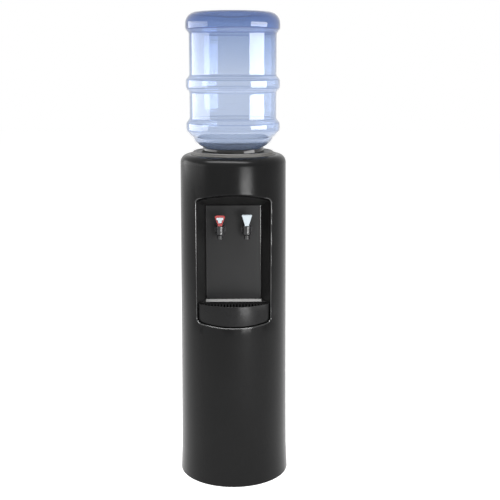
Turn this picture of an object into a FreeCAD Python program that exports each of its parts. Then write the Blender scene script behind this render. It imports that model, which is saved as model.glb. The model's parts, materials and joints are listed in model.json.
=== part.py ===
import FreeCAD, Part
import math
import os
import re
import Sketcher

# Round hot and cold water cooler with an inverted bottle.
# Millimetres. The origin is the centre of the footprint at floor level, +Z is up, the taps face -Y.

os.makedirs("parts", exist_ok=True)
doc = FreeCAD.newDocument("WaterCooler")
sheet = doc.addObject("Spreadsheet::Sheet", "sizes")
Vector = FreeCAD.Vector

# ---------------------------------------------------------------- driving sizes
SIZES = [
    # moulded cabinet shell
    ("rimGap", 2.0, "cabinet rim above the floor"),
    ("footRadius", 164.3, "outside of the flared foot"),
    ("skirtHeight", 80.0, "height of the flared skirt"),
    ("skirtRadius", 160.8, "outside radius where the skirt ends"),
    ("shoulderRadius", 154.0, "outside radius under the shoulder"),
    ("shoulderRound", 24.0, "rounding of the shoulder"),
    ("deckHeight", 973.0, "flat top deck"),
    ("shellWall", 4.0, "cabinet wall"),
    ("footFlangeWide", 21.3, "width of the in-turned foot flange"),
    # front opening and alcove
    ("openHalf", 105.0, "half width of the front opening"),
    ("openBottom", 487.0, "lowest point of the front opening"),
    ("openSag", 8.5, "rise of the bottom edge towards its ends"),
    ("openCorner", 13.0, "bottom corner radius of the opening"),
    ("openTopCorner", 7.0, "top corner radius of the opening"),
    ("ceilingDrop", 144.0, "alcove ceiling at the back wall, below the deck"),
    ("ceilingTilt", 24.0, "slope of the ceiling, degrees"),
    ("lipWall", 3.5, "wall of the in-turned lip"),
    ("lipDepth", 14.0, "depth of the in-turned lip"),
    ("lipRound", 3.2, "rounding of the front lip"),
    ("linerWall", 3.0, "alcove liner wall"),
    ("alcoveBack", 58.0, "back wall of the alcove from the axis"),
    ("alcoveTaper", 23.0, "how far each side wall closes in"),
    ("taperLead", 15.0, "start of the side walls' taper in front of the ledge"),
    ("ledgeDeep", 24.0, "depth of the ledge under the panel"),
    ("ledgeRise", 1.5, "ledge at the back wall above the tray lip"),
    ("ledgeFall", 4.8, "fall of the ledge towards its front edge"),
    ("seatGap", 0.3, "gap between seated pieces"),
    # splash panel
    ("panelGap", 0.4, "gap beside the splash panel"),
    ("panelThick", 4.2, "thickness of the splash panel"),
    ("panelRound", 3.4, "rounded side edges of the panel"),
    # drip tray and grille
    ("trayInset", 4.4, "front of the tray inside the shoulder's radius"),
    ("trayDeep", 61.0, "tray lip above the opening's lowest point"),
    ("traySideGap", 2.6, "gap between tray and opening"),
    ("trayWall", 2.4, "tray wall"),
    ("trayFloor", 3.0, "tray floor"),
    ("trayRim", 3.0, "width of the rounded tray lip outside the grille"),
    ("grilleDrop", 5.0, "grille top under the tray lip"),
    ("grilleThick", 3.0, "grille thickness"),
    ("grilleStep", 3.0, "width of the step that holds the grille"),
    ("slotWide", 4.0, "width of a grille slot"),
    ("slotPitch", 9.0, "pitch of the grille slots"),
    ("grilleEdge", 9.0, "plain edge round the grille's slots"),
    ("trayTaper", 10.5, "how far each side of the tray closes in"),
    ("runnerX", 62.0, "runners under the tray from the middle"),
    ("runnerWide", 5.0, "width of a runner"),
    ("trayBackGap", 1.2, "gap between tray and ledge"),
    ("trayLipRound", 1.3, "rounding of the tray lip"),
    # collar and bottle seat
    ("collarWide", 20.0, "collar's foot outside the cup flange"),
    ("collarFootHigh", 3.4, "height of the collar's foot"),
    ("collarStep", 7.0, "collar's lip inside its foot"),
    ("collarHigh", 9.0, "height of the collar"),
    ("collarGap", 2.5, "gap between the collar and the cup rim"),
    ("collarEdge", 2.0, "rounding of the collar's foot"),
    ("collarLipRound", 4.0, "rounding of the collar's lip"),
    ("collarLipWide", 9.0, "width of the collar's lip"),
    ("collarThroatHigh", 5.2, "top of the collar at its throat"),
    ("cupFlangeWide", 14.5, "width of the cup flange"),
    ("cupSeat", 6.0, "width of the deck under the cup flange"),
    ("cupFlangeThick", 3.0, "cup flange thickness"),
    ("cupInset", 45.8, "cup rim inside the bottle's rings"),
    ("cupWall", 2.5, "cup wall"),
    ("cupRimHigh", 18.2, "cup rim above the deck"),
    ("wellRadius", 34.0, "inside radius of the neck well"),
    ("wellDeep", 104.5, "well floor below the deck"),
    # feet, ports and switch
    ("footPad", 10.0, "radius of a foot pad"),
    ("footStem", 4.0, "radius of a foot's stem"),
    ("footInset", 13.3, "feet inside the foot's outer radius"),
    ("portHigh", 55.0, "height of the ports at the back"),
    ("cordTurn", 18.0, "ports turned from the back, degrees"),
    ("glandRadius", 8.0, "cord bush"),
    ("cordBore", 3.6, "bore of the cord bush"),
    ("portDeep", 12.0, "ports inside the cabinet's outer face"),
    ("portFlange", 1.6, "thickness of a port's outer flange"),
    ("portGap", 0.6, "gap under a port's flange"),
    ("drainRadius", 9.0, "drain valve"),
    ("switchWide", 20.0, "switch body"),
    ("switchHigh", 28.0, "switch body"),
    ("switchRise", 32.0, "switch above the rear opening"),
    # bottle
    ("bottleRing", 135.3, "outside radius of the bottle's rings"),
    ("ringRise", 10.0, "rings proud of the bottle's body"),
    ("ringFlank", 12.0, "height of a ring's sloping flank"),
    ("bottleHigh", 485.0, "length of the bottle"),
    ("bottleCorner", 32.0, "rounding of the bottle's top"),
    ("bottleWall", 1.6, "bottle wall"),
    ("neckRadius", 27.5, "outside radius of the neck"),
    ("neckDeep", 84.0, "mouth of the bottle below the deck"),
    ("capRadius", 30.5, "outside radius of the cap"),
    ("capSkirt", 24.0, "skirt of the cap"),
    ("probeRadius", 8.0, "feed probe"),
    ("probeReach", 36.0, "tip of the feed probe above the bottle's mouth"),
    # tanks
    ("foamFront", 13.0, "space between the alcove and the cold insulation"),
    ("foamBack", 8.0, "space between the cold insulation and the cabinet"),
    ("coilClear", 2.1, "space round the evaporator tube"),
    ("stubRadius", 5.0, "neck of a tank"),
    ("hoseRadius", 7.0, "hose between the tanks"),
    ("hoseBore", 5.2, "bore of the hose between the tanks"),
    ("lidNeck", 13.0, "neck of the tank lid under the cup"),
    ("lidThick", 3.0, "tank lid"),
    ("coldHigh", 151.0, "height of the cold tank"),
    ("tankWall", 1.2, "tank wall"),
    ("foamWall", 11.5, "cold insulation wall"),
    ("foamFloor", 13.7, "floor of the cold insulation"),
    ("coilTube", 3.2, "radius of the evaporator tube"),
    ("coilPitch", 10.0, "pitch of the evaporator"),
    ("coilTurns", 3.5, "turns of the evaporator"),
    ("suctionRise", 33.0, "suction line's entry above the tank's bottom"),
    ("riserInset", 59.4, "risers of the refrigerant lines inside the cabinet's side"),
    ("riserY", 95.0, "risers behind the cabinet axis"),
    ("hotOutX", 24.0, "outlet of the hot tank"),
    ("hotOutY", 26.0, "outlet of the hot tank"),
    ("stubHole", 5.6, "hole round a tank stub"),
    ("hoseStub", 4.8, "radius of a hose stub"),
    ("suctionTube", 4.0, "radius of the suction line"),
    ("dischargeTube", 3.0, "radius of the discharge line"),
    ("capillaryTube", 1.2, "radius of the capillary"),
    ("hoseHole", 7.6, "hole round a hose"),
    ("hotRadius", 48.0, "hot tank"),
    ("hotHigh", 124.0, "height of the hot tank"),
    ("jacketRadius", 66.0, "outside of the hot tank jacket"),
    ("jacketWall", 10.0, "hot jacket wall"),
    ("jacketHigh", 156.0, "height of the hot jacket"),
    ("bandThick", 3.0, "heater band"),
    ("bandHigh", 40.0, "width of the heater band"),
    # chassis
    ("panSeat", 2.0, "base pan sheet"),
    ("panRise", 8.0, "raised middle of the base pan"),
    ("postX", 100.0, "inner face of each frame post"),
    ("postDeep", 12.0, "post flange"),
    ("postWide", 30.0, "post web"),
    ("sheetThick", 2.0, "shelf sheet"),
    ("shelfDrop", 182.0, "hot shelf below the cold shelf"),
    ("shelfHalfDeep", 62.0, "half depth of a shelf"),
    ("shelfCorner", 40.0, "cut-off corner of a shelf"),
    ("dischargeX", 74.0, "riser of the discharge line"),
    # compressor
    ("potRadius", 62.0, "compressor shell"),
    ("potY", 8.0, "compressor axis behind the cabinet axis"),
    ("potHigh", 140.0, "height of the compressor shell"),
    ("mountHigh", 12.0, "rubber mount under the foot plate"),
    ("mountX", 72.0, "mount spacing, half"),
    ("mountY", 46.0, "mount spacing, half"),
    ("footThick", 3.0, "compressor foot plate"),
    ("potStub", 30.0, "place of the compressor's stubs"),
    # rear opening and condenser
    ("rearHalf", 80.0, "half width of the rear opening"),
    ("rearLow", 90.0, "bottom of the rear opening"),
    ("condHead", 42.0, "rear opening above the highest condenser run"),
    ("rearCorner", 12.0, "corner radius of the rear opening"),
    ("rearLipY", 118.0, "inner end of the rear lip"),
    ("condTube", 3.0, "radius of the condenser tube"),
    ("condPitch", 36.0, "pitch of the condenser runs"),
    ("condRuns", 14.0, "number of condenser runs"),
    ("condHalf", 50.0, "half length of a condenser run"),
    ("condFoot", 40.0, "lowest condenser run above the rear opening's edge"),
    ("wireRadius", 0.8, "radius of a condenser wire"),
    ("wirePitch", 8.0, "pitch of the wires"),
    ("wireOver", 12.0, "wire past the outer runs"),
    ("barThick", 3.0, "condenser bar"),
    ("barHigh", 16.0, "width of a condenser bar"),
    ("barHalf", 78.0, "half length of a condenser bar"),
    ("tabThick", 4.0, "screw tab in the rear opening"),
    ("tabX", 75.0, "screws in the rear opening"),
    ("screwRadius", 1.8, "sheet metal screw"),
    # taps
    ("tapX", 38.5, "tap axis from the middle"),
    ("tapOut", 35.0, "tap axis in front of the alcove's back wall"),
    ("shankDrop", 68.0, "tap shanks below the alcove's ceiling"),
    ("shankRadius", 6.9, "threaded shank"),
    ("chamberRadius", 12.5, "valve chamber"),
    ("spoutRadius", 7.5, "spout"),
    ("chamberRise", 7.0, "top of the valve chamber above the shank's axis"),
    ("spoutLong", 32.0, "mouth of the spout below the chamber's top"),
    ("bonnetHigh", 6.7, "bonnet above the chamber"),
    ("bonnetRadius", 13.2, "bonnet"),
    ("stemRadius", 2.5, "valve stem"),
    ("springRadius", 5.2, "middle of the return spring's wire"),
    ("springWire", 0.5, "radius of the return spring's wire"),
    ("springTurns", 4.0, "turns of the return spring"),
    ("springGap", 0.25, "gap at each end of the return spring"),
    ("heelHigh", 6.0, "lever pin above the lever's heel"),
    ("pinRadius", 1.5, "lever pin"),
    ("camGrowth", 8.185, "lift of the heel, millimetres per radian"),
    ("tiltMax", 28.0, "full tilt of a lever, degrees"),
    ("flangeRadius", 16.5, "tap flange against the panel"),
    ("nutThick", 7.7, "shank nut"),
    ("barbLong", 10.7, "hose barb behind the shank nut"),
    ("eyeRadius", 4.2, "eye at the top of the stem"),
    ("eyeThick", 5.0, "thickness of the eye"),
    ("leverLean", 20.0, "lean of a lever's paddle, degrees"),
    ("leverLong", 32.0, "length of a lever's paddle"),
    ("leverThick", 4.5, "thickness of a lever's paddle"),
    ("leverTopHalf", 14.2, "half width of a lever's top"),
    ("leverFootHalf", 6.3, "half width of a lever's foot"),
    ("latchTravel", 2.5, "travel of the safety latch"),
    ("latchDeep", 1.8, "depth of the latch's recess"),
    ("latchThick", 2.8, "thickness of the latch"),
]
for row, (alias, value, note) in enumerate(SIZES, start=1):
    sheet.set(f"A{row}", note)
    sheet.set(f"B{row}", str(value))
    sheet.setAlias(f"B{row}", alias)
doc.recompute()
ALIASES = {alias for alias, value, note in SIZES}

# what follows from the sizes: where one piece seats on another
TIES = {
    "footFlange": "footRadius - footFlangeWide",
    "footCircle": "footRadius - footInset",
    "ceilingBack": "deckHeight - ceilingDrop",
    "alcoveBackHalf": "openHalf - alcoveTaper",
    "ledgeFront": "alcoveBack + ledgeDeep",
    "alcoveTaperStart": "ledgeFront + taperLead",
    "trayTop": "openBottom + trayDeep",
    "ledgeHigh": "trayTop + ledgeRise",
    "ledgeLow": "ledgeHigh - ledgeFall",
    "panelHalf": "alcoveBackHalf - panelGap",
    "trayFront": "shoulderRadius - trayInset",
    "trayTaperHalf": "openHalf - trayTaper",
    "cupRim": "bottleRing - cupInset",
    "cupFlange": "cupRim + cupFlangeWide",
    "deckHole": "cupFlange - cupSeat",
    "collarFoot": "cupFlange + collarWide",
    "collarLip": "collarFoot - collarStep",
    "collarThroat": "cupRim + collarGap",
    "wellFloor": "deckHeight - wellDeep",
    "neckEnd": "deckHeight - neckDeep",
    "bottleTop": "neckEnd + bottleHigh",
    "bottleRadius": "bottleRing - ringRise",
    "probeTop": "neckEnd + probeReach",
    "foamRadius": "(shoulderRadius - shellWall - foamBack + alcoveBack - linerWall - foamFront) / 2",
    "tankY": "(shoulderRadius - shellWall - foamBack - alcoveBack + linerWall + foamFront) / 2",
    "coldRadius": "foamRadius - foamWall - 2 * coilTube - coilClear",
    "coldTop": "wellFloor - cupWall - lidNeck",
    "coldFoot": "coldTop - coldHigh",
    "suctionIn": "coldFoot + suctionRise",
    "shelfHigh": "coldFoot - seatGap - foamFloor",
    "hotShelfHigh": "shelfHigh - shelfDrop",
    "riserX": "(skirtRadius + shoulderRadius) / 2 - riserInset",
    "condLow": "rearLow + condFoot",
    "condTop": "condLow + (condRuns - 1) * condPitch",
    "barLow": "condLow + condPitch / 2",
    "barTop": "condTop - condPitch / 2",
    "rearHigh": "condTop + condHead",
    "switchZ": "rearHigh + switchRise",
    "tapY": "alcoveBack + tapOut",
    "shankHigh": "ceilingBack - shankDrop",
    "chamberTop": "shankHigh + chamberRise",
    "spoutEnd": "chamberTop - spoutLong",
    "nutBack": "alcoveBack - linerWall - nutThick - 0.1",
    "shankEnd": "nutBack - barbLong",
}


def bound(text):
    # the expression with the ties written out and each size read from the sheet
    def word(found):
        name = found[0]
        if name in TIES:
            return "(" + bound(TIES[name]) + ")"
        return "sizes." + name if name in ALIASES else name

    return re.sub(r"[A-Za-z]\w*", word, str(text))


def worth(text):
    # the number that an expression gives now
    return float(sheet.evalExpression(bound(text)))


# ---------------------------------------------------------------- ways of making a piece
pieces = {}


def kept(name, piece):
    # a finished piece under the name of its file
    piece.Label = name
    pieces[name] = piece
    return piece


def arcBetween(here, there, radius, turn):
    # the short arc from here to there, bending left for turn 1 and right for turn -1
    chord = there - here
    reach = math.sqrt(max(radius ** 2 - (chord.Length / 2) ** 2, 0))
    centre = (here + there) * 0.5 + Vector(-chord.y, chord.x, 0).normalize() * reach * turn
    first, last = (here, there) if turn > 0 else (there, here)
    start = math.atan2(first.y - centre.y, first.x - centre.x)
    sweep = (math.atan2(last.y - centre.y, last.x - centre.x) - start) % (2 * math.pi)
    return Part.ArcOfCircle(Part.Circle(centre, Vector(0, 0, 1), radius), start, start + sweep)


def outline(body, role, corners):
    # a closed sketch; a corner is (across, up), or (across, up, radius, turn) where an arc leaves it
    sketch = body.newObject("Sketcher::SketchObject", "outline")
    plane = next(item for item in body.Origin.OriginFeatures if item.Role == role)
    sketch.AttachmentSupport = [(plane, "")]
    sketch.MapMode = "FlatFace"
    places = [Vector(worth(corner[0]), worth(corner[1]), 0) for corner in corners]
    rules = []
    texts = []
    ends = []
    for number, corner in enumerate(corners):
        here = places[number]
        there = places[(number + 1) % len(places)]
        if len(corner) == 2:
            edge = sketch.addGeometry(Part.LineSegment(here, there), False)
            ends.append((edge, 1, 2))
            continue
        radius = worth(corner[2])
        edge = sketch.addGeometry(arcBetween(here, there, radius, corner[3]), False)
        ends.append((edge, 1, 2) if corner[3] > 0 else (edge, 2, 1))
        rules.append(Sketcher.Constraint("Radius", edge, radius))
        texts.append(corner[2])
    for number, corner in enumerate(corners):
        edge, start, finish = ends[number]
        nextEdge, nextStart, nextFinish = ends[(number + 1) % len(ends)]
        rules.append(Sketcher.Constraint("Coincident", edge, finish, nextEdge, nextStart))
        texts.append(None)
        rules.append(Sketcher.Constraint("DistanceX", -1, 1, edge, start, places[number].x))
        texts.append(corner[0])
        rules.append(Sketcher.Constraint("DistanceY", -1, 1, edge, start, places[number].y))
        texts.append(corner[1])
    sketch.addConstraint(rules)
    for number, text in enumerate(texts):
        if text is not None:
            sketch.setExpression(f"Constraints[{number}]", bound(text))
    return sketch


def placed(piece, x="0", y="0", z="0", turn=None):
    # where a piece stands, and how it is turned
    if turn:
        piece.Placement = FreeCAD.Placement(Vector(), turn)
    for axis, text in (("x", x), ("y", y), ("z", z)):
        piece.setExpression(f"Placement.Base.{axis}", bound(text))
    return piece


def turned(name, corners, **place):
    # a revolved piece, drawn as (radius, height)
    body = doc.addObject("PartDesign::Body", name)
    sketch = outline(body, "XZ_Plane", corners)
    feature = body.newObject("PartDesign::Revolution", "revolution")
    feature.Profile = sketch
    feature.ReferenceAxis = (sketch, ["V_Axis"])
    feature.Angle = 360
    body.Tip = feature
    return placed(body, **place)


def padded(name, role, corners, length, symmetric=False, **place):
    # an outline made solid; XY pads go up, XZ pads go to the front, YZ pads go to the right
    body = doc.addObject("PartDesign::Body", name)
    feature = body.newObject("PartDesign::Pad", "pad")
    feature.Profile = outline(body, role, corners)
    feature.SideType = "Symmetric" if symmetric else "One side"
    feature.setExpression("Length", bound(length))
    body.Tip = feature
    return placed(body, **place)


def pocketed(body, role, corners, length):
    # a cut through the body, as far each way as half the length
    feature = body.newObject("PartDesign::Pocket", "pocket")
    feature.Profile = outline(body, role, corners)
    feature.SideType = "Symmetric"
    feature.setExpression("Length", bound(length))
    body.Tip = feature
    return body


def rounded(body, radius, wanted):
    # the edges of the body that are wanted, filleted
    doc.recompute()
    last = body.Tip
    names = [f"Edge{number}" for number, edge in enumerate(last.Shape.Edges, start=1) if wanted(edge)]
    feature = body.newObject("PartDesign::Fillet", "fillet")
    feature.Base = (last, names)
    feature.setExpression("Radius", bound(radius))
    body.Tip = feature
    return body


def bodyOf(name, solid):
    # a body that starts from a finished solid
    body = doc.addObject("PartDesign::Body", name)
    body.BaseFeature = solid
    doc.recompute()
    return body


ALONG = {
    "z": None,
    "y": FreeCAD.Rotation(Vector(1, 0, 0), -90),
    "x": FreeCAD.Rotation(Vector(0, 1, 0), 90),
}


def rod(name, radius, length, x="0", y="0", z="0", along="z"):
    # a cylinder from its start towards +X, +Y or +Z
    piece = doc.addObject("Part::Cylinder", name)
    piece.setExpression("Radius", bound(radius))
    piece.setExpression("Height", bound(length))
    return placed(piece, x, y, z, ALONG[along])


def block(name, wide, deep, high, x="0", y="0", z="0"):
    # a box from its lowest corner
    piece = doc.addObject("Part::Box", name)
    for side, text in (("Length", wide), ("Width", deep), ("Height", high)):
        piece.setExpression(side, bound(text))
    return placed(piece, x, y, z)


def together(name, solids):
    piece = doc.addObject("Part::MultiFuse", name)
    piece.Shapes = solids
    return piece


def shared(name, solids):
    piece = doc.addObject("Part::MultiCommon", name)
    piece.Shapes = solids
    return piece


def without(name, solid, tools):
    piece = doc.addObject("Part::Cut", name)
    piece.Base = solid
    piece.Tool = tools[0] if len(tools) == 1 else together(name + "Tools", tools)
    return piece


def grouped(name, solids):
    # separate solids of one kind
    piece = doc.addObject("Part::Compound", name)
    piece.Links = solids
    return piece


def tube(name, route, radius, bend, bore=None):
    # a bent tube: straight runs between the points, joined by tangent arcs of one radius
    spots = [Vector(*[worth(text) for text in point]) for point in route]
    edges = []
    here = spots[0]
    for before, corner, after in zip(spots, spots[1:], spots[2:]):
        back = (before - corner).normalize()
        ahead = (after - corner).normalize()
        half = back.getAngle(ahead) / 2
        reach = bend / math.tan(half)
        middle = corner + (back + ahead).normalize() * (bend / math.sin(half) - bend)
        start = corner + back * reach
        finish = corner + ahead * reach
        if (start - here).Length > 0.001:
            edges.append(Part.LineSegment(here, start).toShape())
        edges.append(Part.Arc(start, middle, finish).toShape())
        here = finish
    edges.append(Part.LineSegment(here, spots[-1]).toShape())
    spine = Part.Wire(edges)
    heading = (spots[1] - spots[0]).normalize()
    solid = spine.makePipeShell([Part.Wire(Part.Circle(spots[0], heading, radius).toShape())], True, False)
    if bore:
        inside = Part.Wire(Part.Circle(spots[0], heading, bore).toShape())
        solid = solid.cut(spine.makePipeShell([inside], True, False))
    piece = doc.addObject("Part::Feature", name)
    piece.Shape = solid
    return piece


def coiled(name, around, pitch, turns, radius):
    # one unbroken wire round the Z axis, each quarter turn a pair of arcs that meet smoothly
    def spot(turn):
        angle = 2 * math.pi * turn
        return Vector(around * math.cos(angle), around * math.sin(angle), pitch * turn)

    def heading(turn):
        angle = 2 * math.pi * turn
        rise = pitch / (2 * math.pi)
        return Vector(-around * math.sin(angle), around * math.cos(angle), rise).normalize()

    def arc(start, corner, finish):
        back = (start - corner).normalize()
        ahead = (finish - corner).normalize()
        half = back.getAngle(ahead) / 2
        bend = (start - corner).Length * math.tan(half)
        middle = corner + (back + ahead).normalize() * (bend / math.sin(half) - bend)
        return Part.Arc(start, middle, finish).toShape()

    edges = []
    quarters = round(turns * 4)
    for quarter in range(quarters):
        first, last = spot(quarter / 4), spot((quarter + 1) / 4)
        before, after = heading(quarter / 4), heading((quarter + 1) / 4)
        both = before + after
        chord = last - first
        spare = 4 - both.dot(both)
        reach = (math.sqrt(chord.dot(both) ** 2 + spare * chord.dot(chord)) - chord.dot(both)) / spare
        corner, nextCorner = first + before * reach, last - after * reach
        middle = (corner + nextCorner) * 0.5
        edges.append(arc(first, corner, middle))
        edges.append(arc(middle, nextCorner, last))
    spine = Part.Wire(edges)
    points = [spot(number / 40) for number in range(round(turns * 40) + 1)]
    least = min((points[far] - points[near]).Length for near in range(0, len(points), 5)
                for far in range(near + 20, len(points)))
    print(name, "least gap", round(least - 2 * radius, 3), "mm")
    ring = Part.Wire(Part.Circle(points[0], heading(0), radius).toShape())
    piece = doc.addObject("Part::Feature", name)
    piece.Shape = spine.makePipeShell([ring], True, False)
    return piece


def isAt(value, wanted):
    return abs(value - wanted) < 0.01


# ---------------------------------------------------------------- moulded cabinet and alcove
shoulderFoot = "deckHeight - shoulderRound"
shoulderFlat = "shoulderRadius - shoulderRound"
bottomRound = "(openHalf^2 + openSag^2) / (2 * openSag)"
openCap = "ceilingBack + 90"
reachOut = "footRadius + 20"


def cabinetCore(name, inset):
    # all that lies inside the cabinet's outer face, drawn in by the inset
    return turned(name, [
        ("0", "skirtHeight"),
        (f"skirtRadius - {inset}", "skirtHeight"),
        (f"shoulderRadius - {inset}", shoulderFoot),
        ("0", shoulderFoot),
    ])


def frontSpace(name, spread):
    # the front opening run back to the axis, grown all round by the spread
    half = f"openHalf + ({spread})"
    foot = (f"openBottom + {bottomRound} - "
            f"sqrt(({bottomRound} + ({spread}))^2 - ({half})^2)")
    body = padded(name, "XZ_Plane", [
        (f"-({half})", openCap),
        (f"-({half})", foot, f"{bottomRound} + ({spread})", 1),
        (half, foot),
        (half, openCap),
    ], reachOut)
    ceiling = f"ceilingBack + ({spread}) / cos(ceilingTilt)"
    pocketed(body, "YZ_Plane", [
        ("0", f"{ceiling} - alcoveBack * tan(ceilingTilt)"),
        ("0", f"{openCap} + 20"),
        (f"-({reachOut}) - 1", f"{openCap} + 20"),
        (f"-({reachOut}) - 1", f"{ceiling} + ({reachOut} + 1 - alcoveBack) * tan(ceilingTilt)"),
    ], "4 * openHalf")
    side = worth(half)
    low = worth(foot)

    def runsBack(edge):
        return all(isAt(abs(end.X), side) for end in edge.Vertexes) and len(edge.Vertexes) == 2

    def bottomCorner(edge):
        return runsBack(edge) and all(isAt(end.Z, low) for end in edge.Vertexes)

    def topCorner(edge):
        ends = edge.Vertexes
        return runsBack(edge) and min(end.Z for end in ends) > low + 1 and not isAt(ends[0].Y, ends[1].Y)

    rounded(body, f"openCorner + ({spread})", bottomCorner)
    rounded(body, f"openTopCorner + ({spread})", topCorner)
    return body


def rearSpace(name, spread):
    # the rear opening as a rounded block behind the rear lip
    half = f"rearHalf + {spread}"
    body = padded(name, "XZ_Plane", [
        (f"-({half})", f"rearLow - {spread}"),
        (half, f"rearLow - {spread}"),
        (half, f"rearHigh + {spread}"),
        (f"-({half})", f"rearHigh + {spread}"),
    ], "footRadius", y="rearLipY + footRadius")

    def corner(edge):
        ends = edge.Vertexes
        return isAt(ends[0].X, ends[1].X) and isAt(ends[0].Z, ends[1].Z)

    return rounded(body, f"rearCorner + {spread}", corner)


def makeCabinet():
    blank = turned("cabinetBlank", [
        ("footFlange", "rimGap"),
        ("footRadius", "rimGap"),
        ("skirtRadius", "skirtHeight"),
        ("shoulderRadius", shoulderFoot, "shoulderRound", 1),
        (shoulderFlat, "deckHeight"),
        ("deckHole", "deckHeight"),
        ("deckHole", "deckHeight - shellWall"),
        (shoulderFlat, "deckHeight - shellWall", "shoulderRound - shellWall", -1),
        ("shoulderRadius - shellWall", shoulderFoot),
        ("skirtRadius - shellWall", "skirtHeight"),
        ("footRadius - shellWall", "rimGap + shellWall"),
        ("footFlange", "rimGap + shellWall"),
    ])
    band = without("lipBand", cabinetCore("lipOuter", "0"), [cabinetCore("lipInner", "lipDepth")])
    frontLip = shared("frontLip", [frontSpace("frontLipSpace", "lipWall"), band])
    rearLip = shared("rearLip", [rearSpace("rearLipSpace", "lipWall"), cabinetCore("rearOuter", "0")])
    switchHole = block("switchHole", "switchWide + 0.6", "60", "switchHigh + 0.6",
                       "-switchWide / 2 - 0.3", "shoulderRadius - 30", "switchZ - switchHigh / 2 - 0.3")
    openings = [frontSpace("frontHole", "0"), rearSpace("rearHole", "0"), switchHole]
    openings += [portHole("cordHole", "glandRadius + 0.2", 1), portHole("drainHole", "drainRadius + 0.2", -1)]
    for number, (x, y) in enumerate(footPlaces):
        openings.append(rod(f"footHole{number}", "footStem + 0.2", "rimGap + shellWall + 1", x, y, "0"))
    tabs = [block(f"rearTab{side}{height}", "rearHalf + lipWall - tabX + 7", "tabThick", "barHigh + 4",
                  "tabX - 7" if side > 0 else "-rearHalf - lipWall", "rearLipY - tabThick",
                  f"{height} - barHigh / 2 - 2") for side in (1, -1) for height in ("barLow", "barTop")]
    tabHoles = [rod(f"tabHole{side}{height}", "screwRadius + 0.1", "20", f"{side} * tabX", "rearLipY - 10",
                    height, "y") for side in (1, -1) for height in ("barLow", "barTop")]
    shell = without("cabinetOpen", together("cabinetWhole", [blank, frontLip, rearLip]), openings)
    shell = without("cabinetDrilled", together("cabinetTabbed", [shell] + tabs), tabHoles)
    body = bodyOf("cabinetShell", shell)
    slope = (worth("skirtRadius - shoulderRadius")) / worth(f"{shoulderFoot} - skirtHeight")
    top = worth(openCap)
    low = worth("openBottom") - 1

    def onFrontRim(edge):
        for step in range(5):
            first, last = edge.ParameterRange
            spot = edge.valueAt(first + (last - first) * step / 4)
            radius = worth("skirtRadius") - slope * (spot.z - worth("skirtHeight"))
            if spot.y > -20 or not low < spot.z < top or abs(math.hypot(spot.x, spot.y) - radius) > 0.05:
                return False
        return True

    kept("cabinet_shell", rounded(body, "lipRound", onFrontRim))


def atPort(name, corners, side):
    # a piece turned square to the skirt low on the back, drawn as (radius, distance out of the wall)
    wall = "(footRadius - (portHigh - rimGap) * (footRadius - skirtRadius) / (skirtHeight - rimGap))"
    slope = worth("atan((footRadius - skirtRadius) / (skirtHeight - rimGap))")
    turn = FreeCAD.Rotation(Vector(0, 0, 1), side * worth("cordTurn"))
    turn = turn * FreeCAD.Rotation(Vector(1, 0, 0), slope - 90)
    return turned(name, corners, x=f"-{side} * {wall} * sin(cordTurn)", y=f"{wall} * cos(cordTurn)",
                  z="portHigh", turn=turn)


def portHole(name, radius, side):
    return atPort(name, [("0", "-30"), (radius, "-30"), (radius, "30"), ("0", "30")], side)


footPlaces = [(f"{side} * footCircle * cos(45)", f"{end} * footCircle * sin(45)")
              for side in (1, -1) for end in (1, -1)]


def makeLiner():
    def wedge(name, spread):
        # the alcove's inside, grown by the spread: its side walls close in towards the back
        plan = padded(name + "Plan", "XY_Plane", [
            (f"-(openHalf + {spread})", f"-({reachOut})"),
            (f"openHalf + {spread}", f"-({reachOut})"),
            (f"openHalf + {spread}", "-alcoveTaperStart"),
            (f"alcoveBackHalf + {spread}", f"-alcoveBack + {spread}"),
            (f"-(alcoveBackHalf + {spread})", f"-alcoveBack + {spread}"),
            (f"-(openHalf + {spread})", "-alcoveTaperStart"),
        ], f"{openCap} + 40 - openBottom", z="openBottom - 20")
        space = shared(name + "Space", [frontSpace(name + "Front", spread), plan])
        step = padded(name + "Step", "YZ_Plane", [
            ("0", "openBottom - 40"),
            ("0", f"ledgeHigh - {spread}"),
            (f"-alcoveBack + {spread}", f"ledgeHigh - {spread}"),
            (f"-ledgeFront + {spread}", f"ledgeLow - {spread}"),
            (f"-ledgeFront + {spread}", "openBottom - 40"),
        ], "4 * openHalf", symmetric=True)
        return without(name, space, [step])

    holes = [rod(f"linerHole{side}", "shankRadius + 0.7", "4 * linerWall",
                 f"{side} * tapX", "-alcoveBack - linerWall", "shankHigh", "y") for side in (1, -1)]
    wall = without("linerWall", wedge("linerOutside", "linerWall"), [wedge("linerInside", "0")] + holes)
    # two runners under the tray
    runners = without("runners", together("runnerPair", [
        block(f"runner{side}", "runnerWide", f"{reachOut} - ledgeFront", "20",
              f"{side} * runnerX - runnerWide / 2",
              f"-({reachOut})", "openBottom") for side in (1, -1)]), [
        frontSpace("runnerTop", "seatGap - traySideGap")])
    lined = together("linerWithRunners", [wall, runners])
    kept("alcove_liner", shared("linerTrimmed", [lined, cabinetCore("linerCore", "lipDepth")]))


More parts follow.
